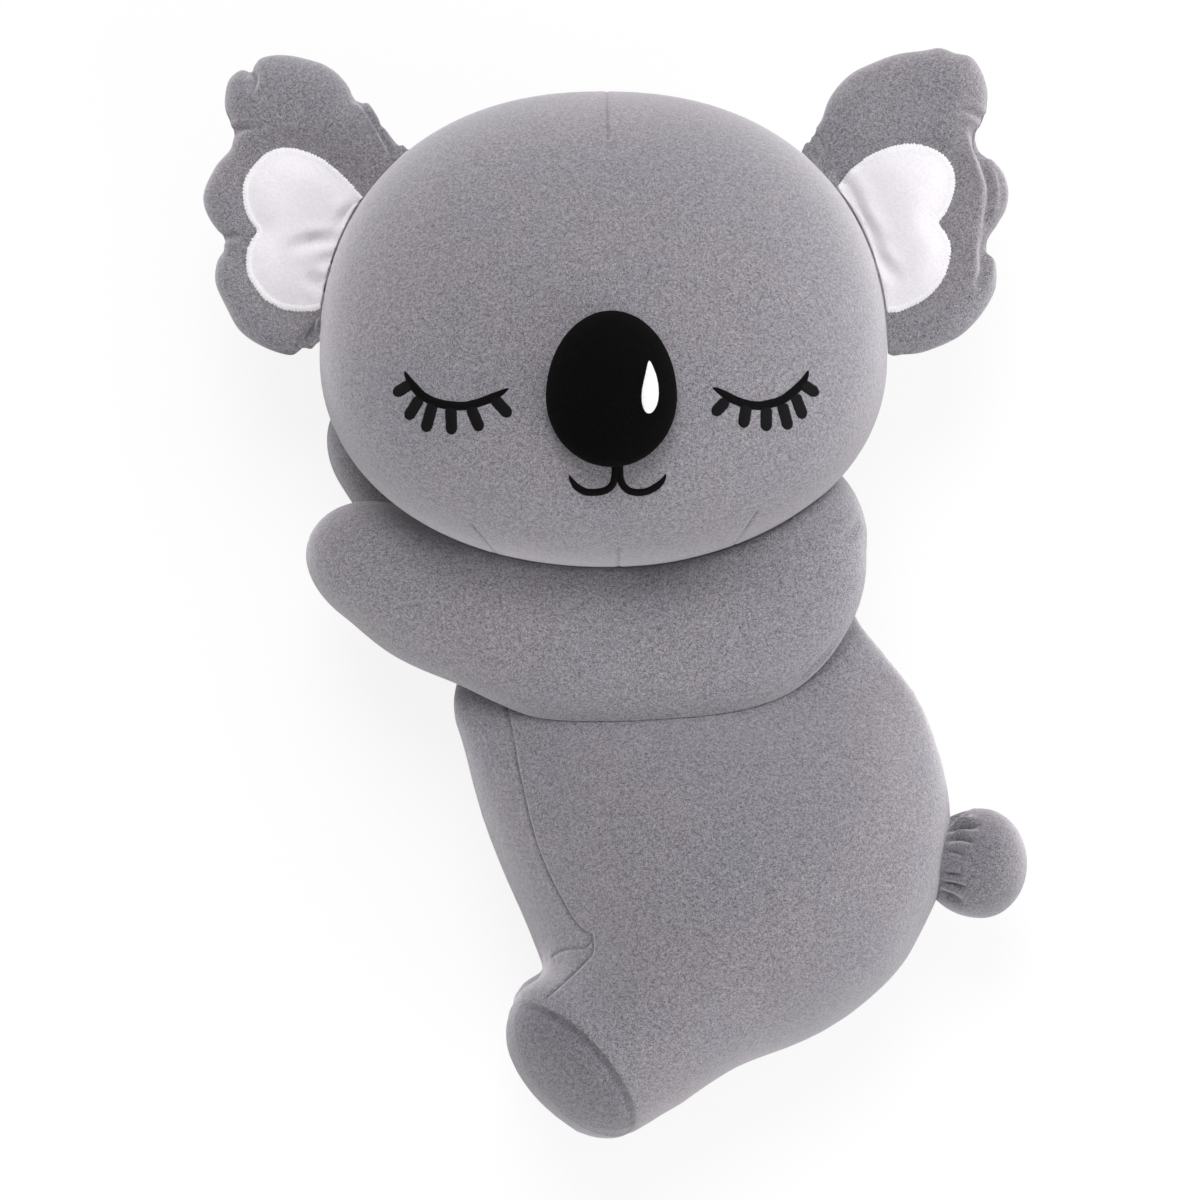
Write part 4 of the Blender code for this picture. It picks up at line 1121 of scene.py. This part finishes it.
def foot_faces(shaper, side):
    """The faces near the plane of the sole's seam, and those of them outside it."""
    faces = list(shaper.faces)
    away, aside = sole_place(np.array([face.calc_center_median() for face in faces]), side)
    near = (np.abs(away + SOLE_SEAM_OUT) < FOOT_DEPTH) & (aside < SOLE_REACH)
    return [faces[k] for k in np.flatnonzero(near)], [faces[k] for k in np.flatnonzero(near & (away > 0))]


def cut_sole(torso, name, side):
    """Parts the skin along the sole's seam and makes the sole a piece of its own."""
    centre, out = sole_plane(side)
    plane = centre + out * SOLE_SEAM_OUT
    shaper = bmesh.new()
    shaper.from_mesh(torso.data)
    faces = foot_faces(shaper, side)[0]
    near = list({e for f in faces for e in f.edges} | {v for f in faces for v in f.verts} | set(faces))
    bmesh.ops.bisect_plane(shaper, geom=near, plane_co=Vector(plane), plane_no=Vector(out))
    cap = foot_faces(shaper, side)[1]
    sole_shaper = shaper.copy()
    shaper.faces.index_update()
    chosen = {face.index for face in cap}
    sole_shaper.faces.index_update()
    rest = [face for face in sole_shaper.faces if face.index not in chosen]
    bmesh.ops.delete(sole_shaper, geom=rest, context="FACES")
    bmesh.ops.delete(shaper, geom=cap, context="FACES")
    shaper.to_mesh(torso.data)
    shaper.free()
    mesh = bpy.data.meshes.new(f"{name}_sole_cover")
    sole_shaper.to_mesh(mesh)
    sole_shaper.free()
    sole = add_object(f"{name}_sole_cover", mesh)
    mesh.shade_smooth()
    torso.data.shade_smooth()
    points = mesh_points(sole)
    level = (points - plane) @ out
    flat = points - level[:, None] * out
    rim = flat[level < 1e-5]
    inside = np.min(np.linalg.norm(flat[:, None, :] - rim[None, :, :], axis=2), axis=1)
    flat += (flat - plane) * SOLE_GROW
    share = np.clip(inside / SOLE_DOME, 0, 1)
    bulge = SOLE_RISE * (1 - (1 - share) ** 2) ** 0.55
    lift = bulge - SOLE_TUCK * bell(inside, SOLE_TUCK_WIDTH)
    set_points(sole, on_floor(flat + out * lift[:, None]))
    set_value(sole, "seam", np.exp(-((inside / SEAM_MARK) ** 4)))
    dress(sole, SOLE, (f"{name}_foot_sole",))
    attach(sole, "torso")


def edge_seam(torso, side):
    """Draws the leg's fabric in at the sole's seam."""
    centre, out = sole_plane(side)
    points = mesh_points(torso)
    offset = points - centre
    level = offset @ out - SOLE_SEAM_OUT
    across = offset - (offset @ out)[:, None] * out
    near = np.where((sizes(across) < SOLE_REACH) & (level < 0.001), -level, 1.0)
    points += across * (SOLE_GROW * step_up(-near, -SOLE_GROW_RUN, 0.0))[:, None]
    pull = SOLE_TUCK * bell(near, 0.0010) * step_up(near, 0.0, 0.0003)
    set_points(torso, on_floor(points - mesh_normals(torso) * pull[:, None]))
    mark_seam(torso, near, SOLE_MARK)


# Arms
def arm_stations(rows, thickness, height):
    out, up, wide, thick, lift = rows.T
    fuller = ARM_FULLER / 2 * np.sin(np.linspace(0, np.pi, len(rows))) * (height > MID_Z)
    x = SHOULDER_X + ARM_REACH * out
    y = SHOULDER_Y + ARM_REACH * up - fuller
    half = ARM_WIDTH * wide / 2 + fuller
    return np.column_stack([x, y, height + thickness * lift, half, thickness * thick / 2])


def make_arm(side, stations, thickness, height, torso_tree):
    turns = seam_turns(ARM_AROUND, ARM_GATHER)
    rings = 190
    points, faces = sweep(arm_stations(stations, thickness, height), turns, rings, SHOULDER_ROUND, PAW_ROUND)
    arm = add_mesh(f"{side}_arm_cover", points, faces)
    spread = np.abs(np.sin(np.concatenate([[np.pi / 2], np.tile(turns, rings - 1), [np.pi / 2]])))
    away = spread * thickness / 2
    press(arm, ARM_SEAM_DEPTH * side_seam(away))
    sides = mesh_points(arm)[1:-1].reshape(rings - 1, -1, 3)
    fill_out(arm, [sides[::4, 0], sides[::4, len(turns) // 2]], voxel=0.005)
    points = mesh_points(arm)
    beside = np.maximum(head_level(points) - 1, 0) * HEAD_WIDTH / 2
    upper = step_up(points[:, 2], height - thickness * 0.1, height + thickness * 0.3)
    points[:, 2] += CHIN_SWELL * bell(beside, CHIN_SWELL_REACH) * upper
    set_points(arm, points)
    set_value(arm, "seam", bell(away, SEAM_MARK))
    for _ in range(3):
        before = mesh_points(arm)
        pressed = clear_of_tree(clear_of_head(before), torso_tree)
        moved = sizes(pressed - before) > 1e-5
        set_points(arm, pressed)
        relax(arm, 4, 0.7, moved.astype(float))
    points = clear_of_tree(clear_of_head(mesh_points(arm)), torso_tree)
    set_points(arm, on_floor(points))
    press_folds(arm, ARM_FOLDS if side == "near" else ())
    nodes = (f"{side}_arm_outer_panel", f"{side}_arm_inner_panel", f"{side}_arm_stuffing")
    dress(arm, GREY, nodes)
    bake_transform(arm)


# Ears
def ear_swell(plan):
    return EAR_ROOT + (EAR_PUFF - EAR_ROOT) * step_up(away_from_head(plan), 0.0, EAR_SWELL_RUN)


def make_ear(name, outline, middle, patch_line, folds, hinge):
    around = 440
    rows = 54
    raw = smooth_loop(outline, around)
    loop = outside_head(raw, EAR_HEAD_GAP)
    middle = np.array(middle)
    reach = np.sin(np.linspace(0, np.pi / 2, rows + 1)[1:])
    plan = np.vstack([middle + (loop - middle) * share for share in reach])
    edge = plan_gaps(raw[away_from_head(raw) > 0], plan)[1]
    valley = plan_gaps(smooth_loop(patch_line, VALLEY_AROUND), plan)[1]
    swell = ear_swell(plan) / 2 * rounded(np.clip(edge / RIM_ROUND, 0, 1))
    swell[-around:] = 0
    high = swell * (1 - PATCH_VALLEY * bell(valley, PATCH_VALLEY_WIDTH))
    plane = head_plane(plan[:, 1])
    top = np.column_stack([plan, plane + high])
    low = np.column_stack([plan, plane - swell]).reshape(rows, around, 3)[:-1][::-1].reshape(-1, 3)
    pole = (*middle, head_plane(middle[1]))
    half = np.array((0, 0, ear_swell(middle[None, :])[0] / 2))
    points = np.vstack([pole + half, top, low, pole - half])
    ear = add_mesh(f"{name}_ear_cover", points, ring_faces(2 * rows - 1, around))
    press_folds(ear, folds)
    points = mesh_points(ear)
    edge = np.abs(points[:, 2] - head_plane(points[:, 1]) + EAR_SEAM_DEPTH)
    press(ear, EAR_SEAM_DEPTH * bell(edge, EAR_SEAM_WIDTH))
    set_points(ear, clear_of_head(mesh_points(ear)))
    set_value(ear, "seam", bell(edge, 0.0005) * 0.8)
    tree = tree_of(ear)
    border_line = smooth_loop(patch_line, BORDER_AROUND)
    lining = outside_head(smooth_loop(patch_line, PATCH_AROUND), PATCH_HEAD_GAP)
    patch = make_patch(f"{name}_ear_lining", tree, lining, middle)
    ahead = np.roll(border_line, -1, axis=0) - np.roll(border_line, 1, axis=0)
    ahead /= sizes(ahead)[:, None]
    inward = np.column_stack([-ahead[:, 1], ahead[:, 0]])
    if (inward * (middle - border_line)).sum() < 0:
        inward = -inward
    centre = border_line + inward * PATCH_STITCH_WIDTH / 2
    outside = away_from_head(centre) > BORDER_HEAD_GAP
    start = int(np.argmax(outside & ~np.roll(outside, 1)))
    line = centre[[(start + k) % len(centre) for k in range(int(outside.sum()))]]
    run = run_along(line)
    plan = read_line(line, run, np.arange(0, run[-1], STITCH_PITCH / 2))
    halves = np.full(len(plan), PATCH_STITCH_WIDTH / 2)
    zigzag = {"columns": 7, "teeth": 0.34, "period": 0.0016, "height": BORDER_RISE}
    border = satin(f"{name}_ear_border", tree, [(plan, halves)], **zigzag)
    press(border, np.full(len(border.data.vertices), -BORDER_LIFT))
    nodes = [f"{name}_ear_{kind}" for kind in ("front_panel", "back_panel", "stuffing")]
    dress(ear, GREY, nodes)
    dress(patch, WHITE, (f"{name}_ear_patch",))
    dress(border, WHITE_THREAD, (f"{name}_ear_patch_stitching",))
    away = np.array(hinge) - np.array((HEAD_X, HEAD_Y))
    away /= np.linalg.norm(away)
    height = head_plane(hinge[1])
    start = (*hinge, height)
    for piece in (ear, patch, border):
        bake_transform(piece)


def make_patch(name, tree, outline, middle):
    rows = 34
    reach = np.sin(np.linspace(0, np.pi / 2, rows + 1)[1:])
    plan = np.vstack([middle[None, :]] + [middle + (outline - middle) * share for share in reach])
    base = lay(tree, plan)[0]
    around = len(outline)
    height = np.concatenate([[1.0], np.repeat(np.sqrt(np.maximum(1 - reach**24, 0.0)), around)])
    faces = [(0, 1 + j, 1 + (j + 1) % around) for j in range(around)]
    faces += [tuple(k + 1 for k in face) for face in ring_faces(rows, around, poles=False)]
    base[:, 2] += PATCH_RISE * height - PATCH_SINK
    return add_mesh(name, base, faces)


# Nose and stitched face
def ball(around, bands, centre, halves, lean=0.0):
    tilts = np.pi * np.arange(1, bands) / bands
    turns = 2 * np.pi * np.arange(around) / around
    across = np.sin(tilts)[:, None] * np.cos(turns)[None, :]
    up = np.sin(tilts)[:, None] * np.sin(turns)[None, :]
    height = np.cos(tilts)[:, None] + 0 * up
    grid = np.stack([across, up, height], axis=2).reshape(-1, 3)
    grid = np.vstack([[0, 0, 1.0], grid, [0, 0, -1.0]])
    wide, high, low, deep = halves
    x = centre[0] + grid[:, 0] * wide
    rise = grid[:, 1] * np.where(grid[:, 1] > 0, high, low)
    y = centre[1] + rise
    z = centre[2] + grid[:, 2] * deep - rise * lean
    return np.column_stack([x, y, z]), ring_faces(bands - 1, around)


def make_nose():
    base = head_plane(NOSE_Y) + HEAD_DEPTH / 2 + NOSE_RISE - NOSE_DEPTH / 2
    halves = (NOSE_WIDTH / 2, NOSE_UPPER, NOSE_LOWER, NOSE_DEPTH / 2)
    form = ball(NOSE_AROUND, NOSE_BANDS, (NOSE_X, NOSE_Y, base), halves, HEAD_LEAN_SHARE)
    nose = add_mesh("nose_velvet", *form)
    set_points(nose, clear_of_head(mesh_points(nose), NOSE_HEAD_GAP))
    tree = tree_of(nose)
    dress(nose, BLACK, ("nose_cover", "nose_stuffing"))
    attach(nose, "head")
    spine = even_run(HIGHLIGHT, STITCH_PITCH / 2)
    share = np.linspace(0, 1, len(spine))
    halves = HIGHLIGHT_HALF * np.sin(np.pi * share**1.6) ** 0.5 + 0.0002
    drop = satin("nose_highlight_satin", tree, [(spine, halves)], columns=15, teeth=0.03)
    dress(drop, WHITE_THREAD, ("nose_highlight",))
    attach(drop, "head")


def make_face(head):
    tree = tree_of(head)
    runs = [line_run(line, MOUTH_HALF, (0.0, 0.20)) for line in (MOUTH_RIGHT, MOUTH_LEFT)]
    mouth = satin("mouth_satin", tree, runs)
    dress(mouth, BLACK_THREAD, ("mouth_embroidery",))
    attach(mouth, "head")
    for side, lid, lashes in (("left", LID_LEFT, LASHES_LEFT), ("right", LID_RIGHT, LASHES_RIGHT)):
        lid_piece = satin(f"{side}_eyelid_satin", tree, [line_run(lid, LID_HALF, (0.16, 0.16))])
        lash_piece = satin(f"{side}_lashes_satin", tree, [stub(a, b, LASH_HALF) for a, b in lashes])
        dress(lid_piece, BLACK_THREAD, (f"{side}_eye_embroidery",))
        dress(lash_piece, LASH_THREAD, (f"{side}_eye_embroidery",))
        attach(lid_piece, "head")
        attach(lash_piece, "head")


# Tail: a ball gathered towards its root
def make_tail(torso_tree):
    halves = (TAIL_WIDTH / 2 - TAIL_SLIMMER, *(TAIL_HEIGHT / 2 + TAIL_TALLER,) * 2, TAIL_HEIGHT / 2)
    middle = TAIL_X - TAIL_NEARER
    points, faces = ball(TAIL_AROUND, TAIL_BANDS, (middle, TAIL_Y - TAIL_LOWER, MID_Z), halves)
    points[:, 0] = middle + (points[:, 0] - middle) * np.where(points[:, 0] < middle, TAIL_ROOT_LONGER, 1.0)
    tail = add_mesh("tail_cover_velvet", points, faces)
    push = press_folds(tail, TAIL_FOLDS)
    # Painted shade in the folds: the deeper a point was pressed in, the darker its pile, through the seam
    # mark
    set_value(tail, "seam", np.clip(push / TAIL_FOLD_FULL_SHADE_DEPTH, 0, 1))
    set_points(tail, clear_of_tree(mesh_points(tail), torso_tree))
    dress(tail, SHADED_TAIL_VELVET, ("tail_cover", "tail_stuffing"))
    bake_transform(tail)


# Stage
def make_stage():
    scene = bpy.context.scene
    scene.view_settings.view_transform = "Standard"
    camera = add_object("camera", bpy.data.cameras.new("camera"))
    camera.data.lens = 240
    camera.data.sensor_width = 36
    camera.data.clip_end = 100
    camera.location = (-0.0075, -0.00425, 4.1)
    scene.camera = camera
    corners = [(x * FLOOR_HALF, y * FLOOR_HALF, 0) for x, y in ((-1, -1), (1, -1), (1, 1), (-1, 1))]
    floor = add_mesh("floor", corners, [(0, 1, 2, 3)])
    paint = bpy.data.materials.new("floor_white")
    paint.use_nodes = True
    tree = paint.node_tree
    tree.nodes.clear()
    output = tree.nodes.new("ShaderNodeOutputMaterial")
    matte = tree.nodes.new("ShaderNodeBsdfDiffuse")
    link(tree, seen(tree, 0.14, 0.93), matte.inputs["Color"])
    glow = tree.nodes.new("ShaderNodeEmission")
    set_inputs(glow, {"Color": (1, 1, 1, 1)})
    both = tree.nodes.new("ShaderNodeAddShader")
    link(tree, seen(tree, 0.86, 0.0), glow.inputs["Strength"])
    link(tree, matte.outputs[0], both.inputs[0])
    link(tree, glow.outputs[0], both.inputs[1])
    link(tree, both.outputs[0], output.inputs["Surface"])
    floor.data.materials.append(paint)
    world = bpy.data.worlds.new("studio")
    scene.world = world
    world.use_nodes = True
    tree = world.node_tree
    link(tree, seen(tree, 1.0, 0.42), tree.nodes["Background"].inputs["Strength"])
    set_inputs(tree.nodes["Background"], {"Color": (1, 1, 1, 1)})
    for name, energy, angle, turn_x, turn_y in SUNS:
        lamp = add_object(name, bpy.data.lights.new(name, "SUN"))
        lamp.data.energy = energy
        lamp.data.angle = math.radians(angle)
        lamp.rotation_euler = (math.radians(turn_x), math.radians(turn_y), 0)


def seen(tree, by_camera, otherwise):
    """A strength that what the camera, a gloss or a clear surface shows has, and another for the light."""
    path = tree.nodes.new("ShaderNodeLightPath")
    found = add_math(tree, "MAXIMUM", path.outputs["Is Camera Ray"], path.outputs["Is Glossy Ray"])
    found = add_math(tree, "MAXIMUM", found, path.outputs["Is Transmission Ray"])
    return add_range(tree, found, 0.0, 1.0, otherwise, by_camera)


make_stage()
head = make_head()
make_face(head)
make_nose()
torso = make_torso()
torso_tree = tree_of(torso)
make_arm("near", NEAR_ARM_SHARES, ARM_THICKNESS, NEAR_ARM_Z, torso_tree)
make_arm("far", FAR_ARM_SHARES, FAR_ARM_THICKNESS, FAR_ARM_Z, torso_tree)
make_ear("left", LEFT_EAR, LEFT_EAR_MIDDLE, LEFT_PATCH, LEFT_FOLDS, LEFT_EAR_HINGE)
make_ear("right", RIGHT_EAR, RIGHT_EAR_MIDDLE, RIGHT_PATCH, RIGHT_FOLDS, RIGHT_EAR_HINGE)
make_tail(torso_tree)
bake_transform(torso)
